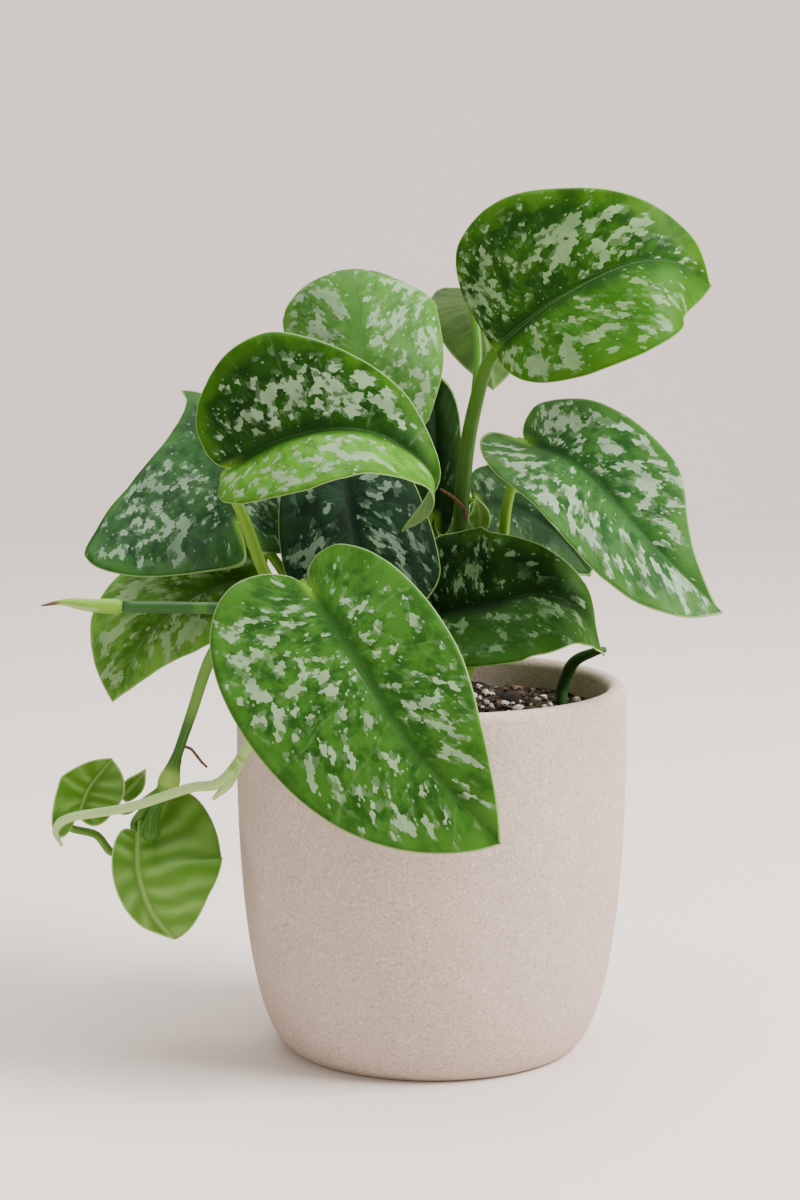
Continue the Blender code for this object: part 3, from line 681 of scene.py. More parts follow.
class Term:
    """A shader socket in an expression: + - and * add Math nodes, or Vector Math ones for vectors."""

    def __init__(self, shade, socket):
        self.shade = shade
        self.socket = socket

    def join(self, operation, first, second):
        kinds = {term.socket.type for term in (first, second) if isinstance(term, Term)}
        node = "ShaderNodeMath" if kinds == {"VALUE"} else "ShaderNodeVectorMath"
        return self.shade.node(node, {"operation": operation}, {0: first, 1: second})

    def __add__(self, other):
        return self.join("ADD", self, other)

    def __sub__(self, other):
        return self.join("SUBTRACT", self, other)

    def __mul__(self, other):
        return self.join("MULTIPLY", self, other)

    def __rsub__(self, other):
        return self.join("SUBTRACT", other, self)

    __radd__ = __add__
    __rmul__ = __mul__


class Shade:
    """One material's nodes, ending in a Principled shader."""

    def __init__(self, name):
        self.material = bpy.data.materials.new(name)
        self.material.use_nodes = True
        self.tree = self.material.node_tree
        self.tree.nodes.clear()

    def node(self, kind, settings=None, sockets=None, output=0):
        """A node with its settings made and its sockets given values or links. Returns one output, or all."""
        made = self.tree.nodes.new(kind)
        for key, value in (settings or {}).items():
            setattr(made, key, value)
        for key, value in (sockets or {}).items():
            socket = made.inputs[key]
            if isinstance(value, Term):
                self.tree.links.new(value.socket, socket)
            elif socket.type == "RGBA":
                socket.default_value = (*value, 1.0)
            elif socket.type == "VECTOR" and not hasattr(value, "__len__"):
                socket.default_value = (value, value, value)
            else:
                socket.default_value = value
        outputs = [Term(self, socket) for socket in made.outputs]
        return outputs if output is None or not outputs else outputs[output]

    def maths(self, operation, *values):
        """A Math node for what no sign in an expression stands for."""
        return self.node("ShaderNodeMath", {"operation": operation}, dict(enumerate(values)))

    def stored(self, name):
        """The three numbers that a mesh keeps at each point."""
        kept = self.node("ShaderNodeAttribute", {"attribute_name": name}, output=1)
        return self.node("ShaderNodeSeparateXYZ", sockets={0: kept}, output=None)

    def stored_number(self, name):
        """The single number that a mesh keeps at each point."""
        return self.node("ShaderNodeAttribute", {"attribute_name": name}, output=2)

    def place(self):
        """The point of the surface in mm."""
        return self.node("ShaderNodeTexCoord", output=3) * (1 / MM)

    def vector(self, x, y, z):
        """Three values or sockets as one vector."""
        return self.node("ShaderNodeCombineXYZ", sockets={0: x, 1: y, 2: z})

    def noise(self, where, size, detail=2.0, roughness=0.5, output=0):
        """Noise from 0 to 1 with lumps of about the given size."""
        sockets = {"Vector": where, "Scale": 1 / size, "Detail": detail, "Roughness": roughness}
        return self.node("ShaderNodeTexNoise", sockets=sockets, output=output)

    def cells(self, where, size, output=0):
        """Cells of about the given size: 0 is the distance to the middle, 1 a colour, 2 the middle."""
        return self.node("ShaderNodeTexVoronoi", sockets={"Vector": where, "Scale": 1 / size}, output=output)

    def smooth(self, value, low, high, start=0.0, end=1.0):
        """A soft rise from start to end while the value goes from low to high."""
        sockets = {"Value": value, "From Min": low, "From Max": high, "To Min": start, "To Max": end}
        return self.node("ShaderNodeMapRange", {"interpolation_type": "SMOOTHSTEP"}, sockets)

    def mix(self, first, second, share):
        """A colour at a share of the way from the first to the second."""
        return self.node("ShaderNodeMix", {"data_type": "RGBA"}, {0: share, 6: first, 7: second}, 2)

    def bump(self, height, distance, strength=1.0):
        """A bump from a height of 0 to 1 over the given distance in mm."""
        sockets = {"Height": height, "Distance": distance * MM, "Strength": strength}
        return self.node("ShaderNodeBump", sockets=sockets)

    def finish(self, **sockets):
        """Ends in a Principled shader. Its sockets are named in lower case with underscores."""
        named = {"specular": "Specular IOR Level"}
        values = {named.get(key, key.replace("_", " ").title()): value for key, value in sockets.items()}
        shader = self.node("ShaderNodeBsdfPrincipled", sockets=values)
        self.node("ShaderNodeOutputMaterial", sockets={"Surface": shader})
        return self.material


class PothosBlades(PropertyGroup):
    """Sizes and colours of the full-grown leaves."""

    rows: IntProperty(
        name="Rows",
        description="Rows of faces from a leaf's base to its tip",
        default=84,
        min=12,
    )
    columns: IntProperty(
        name="Columns",
        description="Faces from the midrib to the margin",
        default=20,
        min=4,
    )
    thickness: FloatProperty(
        name="Thickness",
        description="Thickness of a blade",
        default=0.00055,
        subtype="DISTANCE",
        precision=5,
    )
    vein_count: FloatProperty(
        name="Side veins",
        description="Side veins in each half of a blade",
        default=11.0,
    )
    vein_relief: FloatProperty(
        name="Vein relief",
        description="How deep the side veins lie",
        default=0.00022,
        subtype="DISTANCE",
        precision=5,
    )
    buckle: FloatProperty(
        name="Buckle",
        description="Height of a blade's soft lumps",
        default=0.0009,
        subtype="DISTANCE",
        precision=5,
    )
    groove: FloatProperty(
        name="Midrib groove",
        description="How deep the midrib lies",
        default=0.0005,
        subtype="DISTANCE",
        precision=5,
    )
    rib: FloatProperty(
        name="Rib",
        description="How far the midrib stands out below",
        default=0.0014,
        subtype="DISTANCE",
        precision=5,
    )
    silver: FloatProperty(
        name="Silver",
        description="How bright the silver is",
        default=0.64,
        min=0.0,
        subtype="FACTOR",
    )
    depth: FloatProperty(
        name="Green",
        description="How light the greens are",
        default=0.72,
        min=0.0,
        subtype="FACTOR",
    )
    margin_line: FloatVectorProperty(
        name="Margin",
        description="Colour of the thin line along the margin",
        default=(0.2, 0.32, 0.1),
        subtype="COLOR",
    )
    under: FloatVectorProperty(
        name="Underside",
        description="Colour of a blade's lower face",
        default=(0.17, 0.31, 0.09),
        subtype="COLOR",
    )
    # Painted light: young leaves are painted this paler green on the crests of their ridges.
    young_crest_light: FloatVectorProperty(
        name="Young ridges",
        description="Colour of a young leaf's ridges",
        default=(0.18, 0.36, 0.07),
        subtype="COLOR",
    )
    # Painted shade: young leaves are painted this darker green between their ridges; it also darkens their
    # fine streaks.
    young_valley_shade_and_streaks: FloatVectorProperty(
        name="Young valleys",
        description="Colour between a young leaf's ridges",
        default=(0.075, 0.2, 0.014),
        subtype="COLOR",
    )


class PothosStems(PropertyGroup):
    """Sizes of stems and roots, and the colour of the roots."""

    sides: IntProperty(name="Sides", description="Sides of a stalk", default=20, min=6)
    groove: FloatProperty(
        name="Groove",
        description="Depth of a stalk's groove as a share of its radius",
        default=0.22,
        subtype="FACTOR",
    )
    root_colour: FloatVectorProperty(
        name="Roots", description="Colour of the aerial roots", default=(0.16, 0.075, 0.03), subtype="COLOR"
    )


class PothosSoil(PropertyGroup):
    """Grains and colours of the potting mix."""

    rings: IntProperty(name="Rings", description="Rings of faces in the soil's top", default=90, min=8)
    chips: IntProperty(name="Bark", description="Number of bark chips and crumbs", default=1500, min=0)
    grains: IntProperty(name="White grains", description="Number of white grains", default=170, min=0)
    fibres: IntProperty(name="Fibres", description="Number of loose fibres", default=110, min=0)
    seed: IntProperty(name="Seed", description="Seed of the random places", default=7)
    dark: FloatVectorProperty(
        name="Soil", description="Colour of the moist soil", default=(0.014, 0.009, 0.006), subtype="COLOR"
    )
    bark: FloatVectorProperty(
        name="Bark colour",
        description="Colour of the lightest bark",
        default=(0.11, 0.065, 0.035),
        subtype="COLOR",
    )
    white: FloatVectorProperty(
        name="White", description="Colour of the white grains", default=(0.6, 0.54, 0.46), subtype="COLOR"
    )


class PothosPot(PropertyGroup):
    """Sizes and colours of the pot."""

    sides: IntProperty(name="Sides", description="Sides of the pot", default=160, min=24)
    clay: FloatVectorProperty(
        name="Clay", description="Main colour of the stoneware", default=(0.555, 0.44, 0.36), subtype="COLOR"
    )
    sand: FloatVectorProperty(
        name="Sand", description="Colour of the darker grains", default=(0.25, 0.18, 0.14), subtype="COLOR"
    )
    grain: FloatProperty(
        name="Grain", description="Size of the sandy grain", default=0.0009, subtype="DISTANCE", precision=5
    )


class PothosStage(PropertyGroup):
    """Floor, light and camera."""

    floor: FloatVectorProperty(
        name="Floor",
        description="Colour of the floor and backdrop",
        default=(0.8, 0.7, 0.64),
        subtype="COLOR",
    )
    sky: FloatProperty(name="Room light", description="Strength of the light from all round", default=0.42)
    key: FloatProperty(
        name="Key light",
        description="Power of the window light",
        default=66.0,
        unit="POWER",
    )
    fill: FloatProperty(
        name="Fill light",
        description="Power of the light from the left",
        default=7.0,
        unit="POWER",
    )
    wash: FloatProperty(
        name="Wall light",
        description="Power of the light on the backdrop",
        default=42.0,
        unit="POWER",
    )
    lens: FloatProperty(name="Lens", description="Focal length", default=85.0, unit="CAMERA")
    tilt: FloatProperty(
        name="Tilt", description="How far the camera looks down", default=math.radians(7.9), subtype="ANGLE"
    )


def gather(look, sheet):
    """How readily a point of the blade turns silver: little at the midrib and margin, more in patches."""
    level = look.cover - 0.2 * (1 - smoothstep(sheet.from_rib, 1.0, 7.0)) * (1 - 0.6 * sheet.along)
    level = level - 0.12 * (1 - smoothstep(sheet.to_margin, 0.5, 5.0))
    for place, out, long, wide, strength in look.patches:
        away = ((sheet.t - place) / long) ** 2 + ((sheet.out * sheet.side - out) / wide) ** 2
        level = level + strength * np.exp(-away)
    return level


def silver_cover(shade, ragged, on_leaf, specks_at, gathered):
    """How much silver covers a point: cells that gather in patches, a thin veil round them, and specks."""
    middle = shade.cells(ragged, CELL_SIZE, 2)
    patches = shade.noise(middle, PATCH_SIZE, 1.5, 0.55)
    bands = shade.noise(on_leaf, BAND_SIZE, 1.0)
    level = patches + gathered + (bands - 0.5) * BAND_SHARE
    strength = shade.smooth(shade.noise(on_leaf, 6.0, 1.0), 0.3, 0.6, 0.7, 1.0)
    silver = shade.smooth(level, *SILVER_LEVEL) * strength
    veil = shade.smooth(level, *VEIL_LEVEL) * VEIL_SHARE
    specks = shade.smooth(shade.cells(specks_at, SPECK_SPACING), 0.2, 0.15)
    chosen = shade.smooth(shade.noise(specks_at, 6.0, 1.0) + gathered * 0.5, 0.5, 0.56)
    cover = shade.maths("MAXIMUM", silver, specks * chosen * SPECK_SHARE)
    return shade.maths("MAXIMUM", cover, veil)


def blade_finish(name, look, seed, colours):
    """The upper face of a full-grown blade: clouded green under ragged silver patches."""
    shade = Shade(name)
    across, out, side = shade.stored("veins")
    from_rib, to_margin, along = shade.stored("edges")
    where = shade.place()
    shift = 31.7 * seed
    on_leaf = shade.vector(across + shift, out * 0.72, seed * 5.3)
    specks_at = shade.vector(across + shift, out * 0.8, seed * 2.9)
    ragged = on_leaf + (shade.noise(on_leaf, RAG_SIZE, 2.0, output=1) - 0.5) * RAG_REACH
    cover = silver_cover(shade, ragged, on_leaf, specks_at, shade.stored_number("gather"))

    deep, main, edge = (scaled(green, colours.depth) for green in (look.deep, look.green, look.edge))
    clouds = shade.noise(where, 11.0, 3.0, 0.6)
    mottle = shade.noise(on_leaf, 3.2, 3.0, 0.6)
    green = shade.mix(deep, main, shade.smooth(clouds * 0.5 + mottle * 0.5, 0.4, 0.58))
    # Painted light: on some blades the right half is painted a lighter green, standing for light that shines
    # through it from behind.
    if look.right:
        painted_backlight = shade.smooth(side, -0.2, 1.0) * shade.smooth(from_rib, 0.5, 7.0, 0.2, 0.9)
        green = shade.mix(green, look.right, painted_backlight * shade.smooth(mottle, 0.3, 0.6, 0.6, 1.0))
    near_margin = shade.smooth(to_margin, 9.0, 0.5) * shade.smooth(clouds, 0.35, 0.65, 0.3, 1.0)
    green = shade.mix(green, edge, near_margin)
    spine = shade.smooth(from_rib, 5.5, 0.3) * (1 - along * 0.7)
    green = shade.mix(green, deep, spine * 0.8)
    base_tint = shade.smooth(along, 0.07, -0.02) * shade.smooth(from_rib, 3.5, 0.5)
    green = shade.mix(green, LEAF_BASE, base_tint * 0.7)

    bright = scaled(look.silver, colours.silver)
    tone = shade.mix(bright, scaled(bright, 0.78), shade.noise(ragged, RAG_SIZE, 1.0))
    colour = shade.mix(green, tone, cover)
    vein = shade.maths("PINGPONG", shade.stored_number("vein_phase"), 0.5)
    vein_line = shade.smooth(vein, 0.04, 0.01) * shade.smooth(from_rib, 0.5, 3.0)
    vein_line = vein_line * shade.smooth(mottle, 0.35, 0.6)
    light = tuple(shared(a, b, 0.4) for a, b in zip(main, bright))
    colour = shade.mix(colour, light, vein_line * 0.22)
    colour = shade.mix(colour, tuple(colours.margin_line), shade.smooth(to_margin, 0.42, 0.2))

    sheen = shade.smooth(shade.noise(where, 14.0, 1.0), 0.3, 0.7, look.gloss, look.gloss + 0.1)
    height = shade.noise(where, 0.5, 2.0) * 0.4 + shade.smooth(shade.cells(on_leaf, 1.2), 0.0, 0.7) * 0.6
    return shade.finish(
        base_color=colour,
        roughness=sheen + cover * 0.05,
        specular=0.07,
        normal=shade.bump(height, 0.07, 0.7),
    )


def under_finish(name, colours, tint):
    """The lower face: paler and duller, with the veins a little lighter."""
    shade = Shade(name)
    across, out, _ = shade.stored("veins")
    from_rib, to_margin, _ = shade.stored("edges")
    where = shade.place()
    base = tuple(shared(a, b, tint) for a, b in zip(colours.under, OLIVE_UNDER))
    light = scaled(base, 1.3, 0.02)
    colour = shade.mix(scaled(base, 0.7), base, shade.smooth(shade.noise(where, 8.0, 3.0), 0.3, 0.65))
    lines = shade.noise(shade.vector(across, out * 0.08, 0.0), 1.6, 1.0)
    colour = shade.mix(colour, light, shade.smooth(lines, 0.52, 0.68) * 0.5)
    colour = shade.mix(colour, light, shade.smooth(from_rib, 1.6, 0.6))
    colour = shade.mix(colour, tuple(colours.margin_line), shade.smooth(to_margin, 0.7, 0.3))
    height = shade.noise(where, 0.6, 2.0) + lines
    normal = shade.bump(height, 0.08, 0.5)
    return shade.finish(base_color=colour, roughness=0.55, specular=0.35, normal=normal)


def young_finish(name, colours):
    """A young blade: light green, with painted light on the ridges along the side veins and painted shade
    between.
    """
    shade = Shade(name)
    across, out, _ = shade.stored("veins")
    from_rib, to_margin, _ = shade.stored("edges")
    ridge = shade.stored_number("ridge")
    where = shade.place()
    fine = shade.noise(shade.vector(across, out * 0.1, 2.0), 1.2, 2.0)
    # Painted light and shade: paler on the ridge crests and darker between them, following the relief.
    colour = shade.mix(tuple(colours.young_valley_shade_and_streaks), tuple(colours.young_crest_light), ridge)
    colour = shade.mix(colour, tuple(colours.young_valley_shade_and_streaks), shade.smooth(fine, 0.45, 0.7) * 0.3)
    clouds = shade.noise(where, 7.0, 2.0)
    colour = shade.mix(colour, YOUNG_CLOUD, shade.smooth(clouds, 0.52, 0.75) * 0.55)
    colour = shade.mix(colour, YOUNG_RIB, shade.smooth(from_rib, 1.2, 0.3) * 0.5)
    colour = shade.mix(colour, YOUNG_MARGIN, shade.smooth(to_margin, 0.6, 0.25))
    height = shade.noise(where, 0.5, 2.0) * 0.4 + fine * 0.6
    normal = shade.bump(height, 0.08, 0.5)
    return shade.finish(base_color=colour, roughness=0.45, specular=0.2, normal=normal)


def blade_name(node):
    """The name of the piece that stands for a leaf's node."""
    return node.replace("leaf_", "blade_").replace("sheath_", "scale_")


class POTHOS_OT_blades(Operator):
    """Builds every full-grown leaf blade with its veins, soft lumps and silver patches"""

    bl_idname = "pothos.blades"
    bl_label = "Full-grown leaves"

    def execute(self, context):
        sizes = context.scene.pothos_blades
        for seed, (node, look) in enumerate(LOOKS.items(), 1):
            sheet = blade_sheet(BLADES[node], sizes.rows, sizes.columns)
            inner = smoothstep(sheet.from_rib, 0.0, 6.0)
            phase = sheet.t**0.9 * sizes.vein_count + 0.15 * rough(sheet.points, 14.0)
            vein = np.abs(np.sin(math.pi * phase)) ** 0.6
            edge_wave = sheet.out**3 * rough(sheet.points + 40 * seed, 22.0)
            soft = rough(sheet.points, 16.0) * inner + 0.35 * rough(sheet.points, 6.0) * inner
            relief = sizes.buckle * (soft + edge_wave) + sizes.vein_relief * vein * inner
            along = sheet.along.clip(0, 1)
            channel = bell(sheet.from_rib, 1.3) * (1 - along**2)
            stand = sizes.rib * bell(sheet.from_rib, 1.2) * (1 - 0.85 * along)
            name = blade_name(node)
            olive = 0.75 if node == "leaf_top_behind" else 0.15
            piece = blade_piece(
                name,
                sheet,
                (relief - sizes.groove * channel) / MM,
                relief / MM,
                sizes.thickness / MM,
                stand / MM,
                [blade_finish(name, look, seed, sizes), under_finish(name + "_under", sizes, olive)],
            )
            store_on_blade(piece, "gather", gather(look, sheet))
            store_on_blade(piece, "vein_phase", phase)
            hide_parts(node)
        return {"FINISHED"}


class POTHOS_OT_young(Operator):
    """Builds the young leaves and the small sheath with their raised ridges"""

    bl_idname = "pothos.young"
    bl_label = "Young leaves"

    ridges = {"leaf_young_front": 8.0, "leaf_young_left": 6.0, "leaf_young_behind": 2.0, "sheath_centre": 2.0}

    def execute(self, context):
        sizes = context.scene.pothos_blades
        for node in YOUNG:
            sheet = blade_sheet(BLADES[node], sizes.rows * 2 // 3, sizes.columns)
            inner = smoothstep(sheet.from_rib, 0.0, 4.0) * (1 - 0.5 * sheet.out**4)
            phase = sheet.t**0.9 * self.ridges[node] + 0.35 * rough(sheet.points, 11.0)
            ridge = (0.5 - 0.5 * np.cos(2 * math.pi * phase)) ** 1.5
            scale = min(1.0, sheet.midrib.length / 40)
            relief = scale * inner * (0.3 * ridge + 0.4 * rough(sheet.points, 9.0))
            channel = 0.4 * scale * bell(sheet.from_rib, 1.0)
            stand = 0.7 * scale * bell(sheet.from_rib, 1.0) * (1 - 0.8 * sheet.along.clip(0, 1))
            name = blade_name(node)
            piece = blade_piece(
                name,
                sheet,
                relief - channel,
                relief,
                sizes.thickness / MM,
                stand,
                [young_finish(name, sizes), young_finish(name + "_under", sizes)],
            )
            store_on_blade(piece, "ridge", ridge * inner)
            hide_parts(node)
        return {"FINISHED"}


def tube_rings(tube, steps, sides, groove):
    """Rings of points along a tube, the share along it of each, and the turn of each of its sides."""
    points = [np.array(point, float) for point in tube.points]
    if tube.blade:
        base, tangent, _, up = (value[0] for value in Midrib(BLADES[tube.blade]).frame(np.zeros(1)))
        clear = tube.radii[-1]
        points.append(base - SEAT_BEHIND * tangent - (clear + SEAT_RISE) * up)
        points.append(base + SEAT_PAST * tangent - clear * up)
    line = smooth_line(points, steps)
    if tube.foot:
        depth = np.linspace(STEM_DEPTH, STEM_DEPTH / (FOOT_RINGS + 1), FOOT_RINGS)
        line = np.vstack([line[0] + depth[:, None] * np.array([[0, 0, -1]]), line])
    count = len(line)
    share = np.linspace(0, 1, count)
    radius = spread(tube.radii, share)
    if tube.blade:
        radius = radius * (1 + 0.12 * bell(share - 0.97, 0.03))
        radius[-1] *= 0.55
    level = np.array([0.3, 1.0, 0.2])
    rings = []
    turn = 2 * math.pi * np.arange(sides) / sides
    for index, point in enumerate(line):
        ahead = line[min(index + 1, count - 1)] - line[max(index - 1, 0)]
        right = unit(np.cross(ahead, level))
        level = unit(np.cross(right, ahead))
        swell = 1 - groove * bell(turn - 1.5 * math.pi, 0.55) * (0.3 + 0.7 * share[index])
        reach = (radius[index] * swell)[:, None]
        rings.append(point + reach * (np.cos(turn)[:, None] * right + np.sin(turn)[:, None] * level))
    return np.array(rings), share, turn / (2 * math.pi)


def tube_faces(count, sides, first=0):
    """The quads between the rings of a tube, and a face at each end."""
    ring = first + np.arange(count - 1)[:, None] * sides
    side = np.arange(sides)[None, :]
    after = (side + 1) % sides
    quads = np.stack([ring + side, ring + after, ring + sides + after, ring + sides + side], axis=-1)
    faces = quads.reshape(-1, 4).tolist()
    faces.append([first + index for index in reversed(range(sides))])
    faces.append([first + (count - 1) * sides + index for index in range(sides)])
    return faces


def tube_piece(name, tube, sides, groove, finish, number=0):
    """A closed tube as a piece of its own, with its number among the tubes of its stem."""
    rings, share, turn = tube_rings(tube, TUBE_STEPS, sides, groove)
    count = len(rings)
    piece = mesh_piece(name, rings.reshape(-1, 3), tube_faces(count, sides), [finish])
    numbers = [np.repeat(share, sides), np.tile(turn, count), np.full(count * sides, float(number))]
    store(piece, "stalk", np.stack(numbers, axis=-1))
    return piece


def kept_numbers(piece, name):
    """The three numbers at each point of a mesh."""
    values = np.zeros(3 * len(piece.data.vertices), np.float32)
    piece.data.attributes[name].data.foreach_get("vector", values)
    return values.reshape(-1, 3)


def unite(pieces):
    """Joins tubes that grow from one another into the first of them. Each point gets its numbers back."""
    target = pieces[0]
    if len(pieces) == 1:
        return target
    points = np.concatenate([kept_numbers(piece, "position") for piece in pieces])
    numbers = np.concatenate([kept_numbers(piece, "stalk") for piece in pieces])
    tree = kdtree.KDTree(len(points))
    for index, point in enumerate(points):
        tree.insert(point, index)
    tree.balance()
    group = bpy.data.collections.new("joined")
    bpy.context.scene.collection.children.link(group)
    for other in pieces[1:]:
        bpy.context.scene.collection.objects.unlink(other)
        group.objects.link(other)
    join = target.modifiers.new("Join", "BOOLEAN")
    join.operation = "UNION"
    join.operand_type = "COLLECTION"
    join.collection = group
    join.solver = "EXACT"
    graph = bpy.context.evaluated_depsgraph_get()
    joined = bpy.data.meshes.new_from_object(target.evaluated_get(graph), depsgraph=graph)
    target.modifiers.clear()
    target.data = joined
    nearest = [tree.find(vertex.co)[1] for vertex in joined.vertices]
    joined.attributes["stalk"].data.foreach_set("vector", numbers[nearest].ravel())
    for other in pieces[1:]:
        bpy.data.objects.remove(other)
    bpy.data.collections.remove(group)
    return target


def stalk_finish(name, foot, end, stripes=0.5, bands=()):
    """A smooth stalk: one green into another, long fine streaks, pale dots, and the rings of its nodes."""
    shade = Shade(name)
    along, turn, number = shade.stored("stalk")
    where = shade.place()
    colour = shade.mix(foot, end, shade.smooth(along, 0.15, 0.85))
    for tube, place, width, tint in bands:
        ring = shade.smooth(shade.maths("ABSOLUTE", along - place), width, 0.3 * width)
        on_tube = shade.smooth(shade.maths("ABSOLUTE", number - tube), 0.5, 0.3)
        colour = shade.mix(colour, tint, ring * on_tube)
    light = scaled(end, 1.5, 0.02)
    dark = scaled(foot, 0.6)
    streaks = shade.noise(shade.vector(turn * 40.0, along * 3.0, 0.0), 1.0, 2.0)
    colour = shade.mix(colour, light, shade.smooth(streaks, 0.5, 0.8) * stripes)
    clouds = shade.noise(where, 6.0, 3.0)
    colour = shade.mix(colour, dark, shade.smooth(clouds, 0.55, 0.8) * 0.5)
    dots = shade.smooth(shade.cells(where, 1.9), 0.12, 0.08)
    colour = shade.mix(colour, light, dots * shade.smooth(shade.noise(where, 5.0, 1.0), 0.5, 0.6) * 0.6)
    height = streaks * 0.6 + shade.noise(where, 0.5, 2.0) * 0.4
    normal = shade.bump(height, 0.08, 0.4)
    return shade.finish(base_color=colour, roughness=0.42, specular=0.22, normal=normal)


def sheath_finish(name, foot, end):
    """A fresh green sheath with a cream slit, drying to a dark brown tip."""
    shade = Shade(name)
    along, turn, _ = shade.stored("stalk")
    where = shade.place()
    streaks = shade.noise(shade.vector(turn * 16.0, along * 2.0, 0.0), 1.0, 2.0)
    colour = shade.mix(foot, end, shade.smooth(streaks, 0.35, 0.65))
    slit = shade.smooth(shade.maths("ABSOLUTE", turn - 0.8), 0.075, 0.035)
    slit = slit * shade.smooth(along, 0.2, 0.35) * shade.smooth(along, 0.8, 0.68)
    colour = shade.mix(colour, SHEATH_SLIT, slit * 0.5)
    colour = shade.mix(colour, SHEATH_BASE, shade.smooth(along, 0.06, 0.0) * 0.8)
    dry = shade.smooth(along + shade.noise(where, 2.0, 2.0) * 0.12, 0.74, 0.84)
    brown = shade.mix(*DRY_BROWN, shade.smooth(streaks, 0.35, 0.65))
    colour = shade.mix(colour, brown, dry)
    normal = shade.bump(streaks + dry, 0.15, 0.6)
    return shade.finish(base_color=colour, roughness=0.5, specular=0.3, normal=normal)


def root_finish(name, colour):
    """A dry brown root with fine cross cracks."""
    shade = Shade(name)
    along, turn, _ = shade.stored("stalk")
    where = shade.place()
    bark = shade.noise(where, 0.8, 3.0)
    dark = scaled(colour, 0.35)
    rings = shade.noise(shade.vector(turn * 4.0, along * 60.0, 1.0), 1.0, 2.0)
    tone = shade.mix(dark, tuple(colour), shade.smooth(bark, 0.3, 0.65))
    tone = shade.mix(tone, dark, shade.smooth(rings, 0.55, 0.75) * 0.5)
    normal = shade.bump(bark + rings, 0.15, 0.6)
    return shade.finish(base_color=tone, roughness=0.8, specular=0.3, normal=normal)


class POTHOS_OT_stems(Operator):
    """Builds the stems, leaf stalks and vines, each joined where its stalks branch off"""

    bl_idname = "pothos.stems"
    bl_label = "Stems and stalks"

    def execute(self, context):
        sizes = context.scene.pothos_stems
        for node, tubes in STEMS.items():
            foot, end, slot = STEM_GREENS[node]
            if slot == "sheath":
                finish = sheath_finish(node + "_skin", foot, end)
            else:
                stripes = 0.15 if slot == "stem_dark" else 0.5
                finish = stalk_finish(node + "_skin", foot, end, stripes, NODE_BANDS.get(node, ()))
            groove = 0.0 if node.startswith(("vine", "sheath", "shoot")) else sizes.groove
            parts = []
            for index, tube in enumerate(tubes):
                name = f"{node}_green_{index}" if index else f"{node}_green"
                parts.append(tube_piece(name, tube, sizes.sides, groove, finish, index))
            piece = unite(parts)
            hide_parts(node)
        return {"FINISHED"}


class POTHOS_OT_roots(Operator):
    """Builds the short brown aerial roots"""

    bl_idname = "pothos.roots"
    bl_label = "Roots"

    def execute(self, context):
        sizes = context.scene.pothos_stems
        finish = root_finish("root_skin", tuple(sizes.root_colour))
        for node, tube in ROOTS.items():
            piece = tube_piece(node + "_brown", tube, ROOT_SIDES, 0.0, finish)
            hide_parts(node)
        return {"FINISHED"}


def inside_radius(share, inset):
    """The (radius, height) of the pot's inner wall, from the floor's edge (0) to the upright wall (1)."""
    radius = bezier(FLOOR_RADIUS, 52, INSIDE_RADIUS - 1, INSIDE_RADIUS, share)
    height = bezier(FLOOR_THICKNESS, FLOOR_THICKNESS + 1, 34, WALL_START, share)
    return radius - inset, height + inset


def pot_profile(curve_steps, lip_steps):
    """(radius, height) points from the middle of the base, up the outside, over the lip and down inside."""
    outside = []
    for step in range(curve_steps + 1):
        t = step / curve_steps
        outside.append((bezier(BASE_RADIUS, 58, 66.5, BODY_RADIUS, t), bezier(0, 2, 30, WALL_START, t)))
    roll = LIP_WIDTH / 2
    lip = []
    for step in range(lip_steps + 1):
        turn = math.pi * step / lip_steps
        lip.append((BODY_RADIUS - roll + roll * math.cos(turn), POT_HEIGHT - roll + roll * math.sin(turn)))
    inside = [inside_radius(1 - step / curve_steps, 0) for step in range(curve_steps + 1)]
    base = [(BASE_RADIUS * share, 0) for share in (0.3, 0.6, 0.85)]
    floor = [(FLOOR_RADIUS * share, FLOOR_THICKNESS) for share in (0.85, 0.5, 0.2)]
    return [(0, 0), *base, *outside, *lip, *inside, *floor, (0, FLOOR_THICKNESS)]


def turned_arrays(profile, sides):
    """Points and faces of a solid turned round Z from a profile that starts and ends on the axis."""
    turn = 2 * math.pi * np.arange(sides) / sides
    ring = np.stack([np.cos(turn), np.sin(turn)], axis=-1)
    points = [np.array([[0, 0, profile[0][1]]])]
    for radius, height in profile[1:-1]:
        points.append(np.column_stack([ring * radius, np.full(sides, height)]))
    points.append(np.array([[0, 0, profile[-1][1]]]))
    points = np.concatenate(points)
    faces = []
    side = np.arange(sides)
    after = (side + 1) % sides
    for index in range(len(profile) - 3):
        low = 1 + index * sides
        high = low + sides
        faces.append(np.stack([low + side, low + after, high + after, high + side], axis=-1))
    quads = np.concatenate(faces).tolist()
    last = 1 + (len(profile) - 3) * sides
    fans = [(0, 1 + b, 1 + a) for a, b in zip(side.tolist(), after.tolist())]
    fans += [(last + a, last + b, len(points) - 1) for a, b in zip(side.tolist(), after.tolist())]
    return points, quads + fans


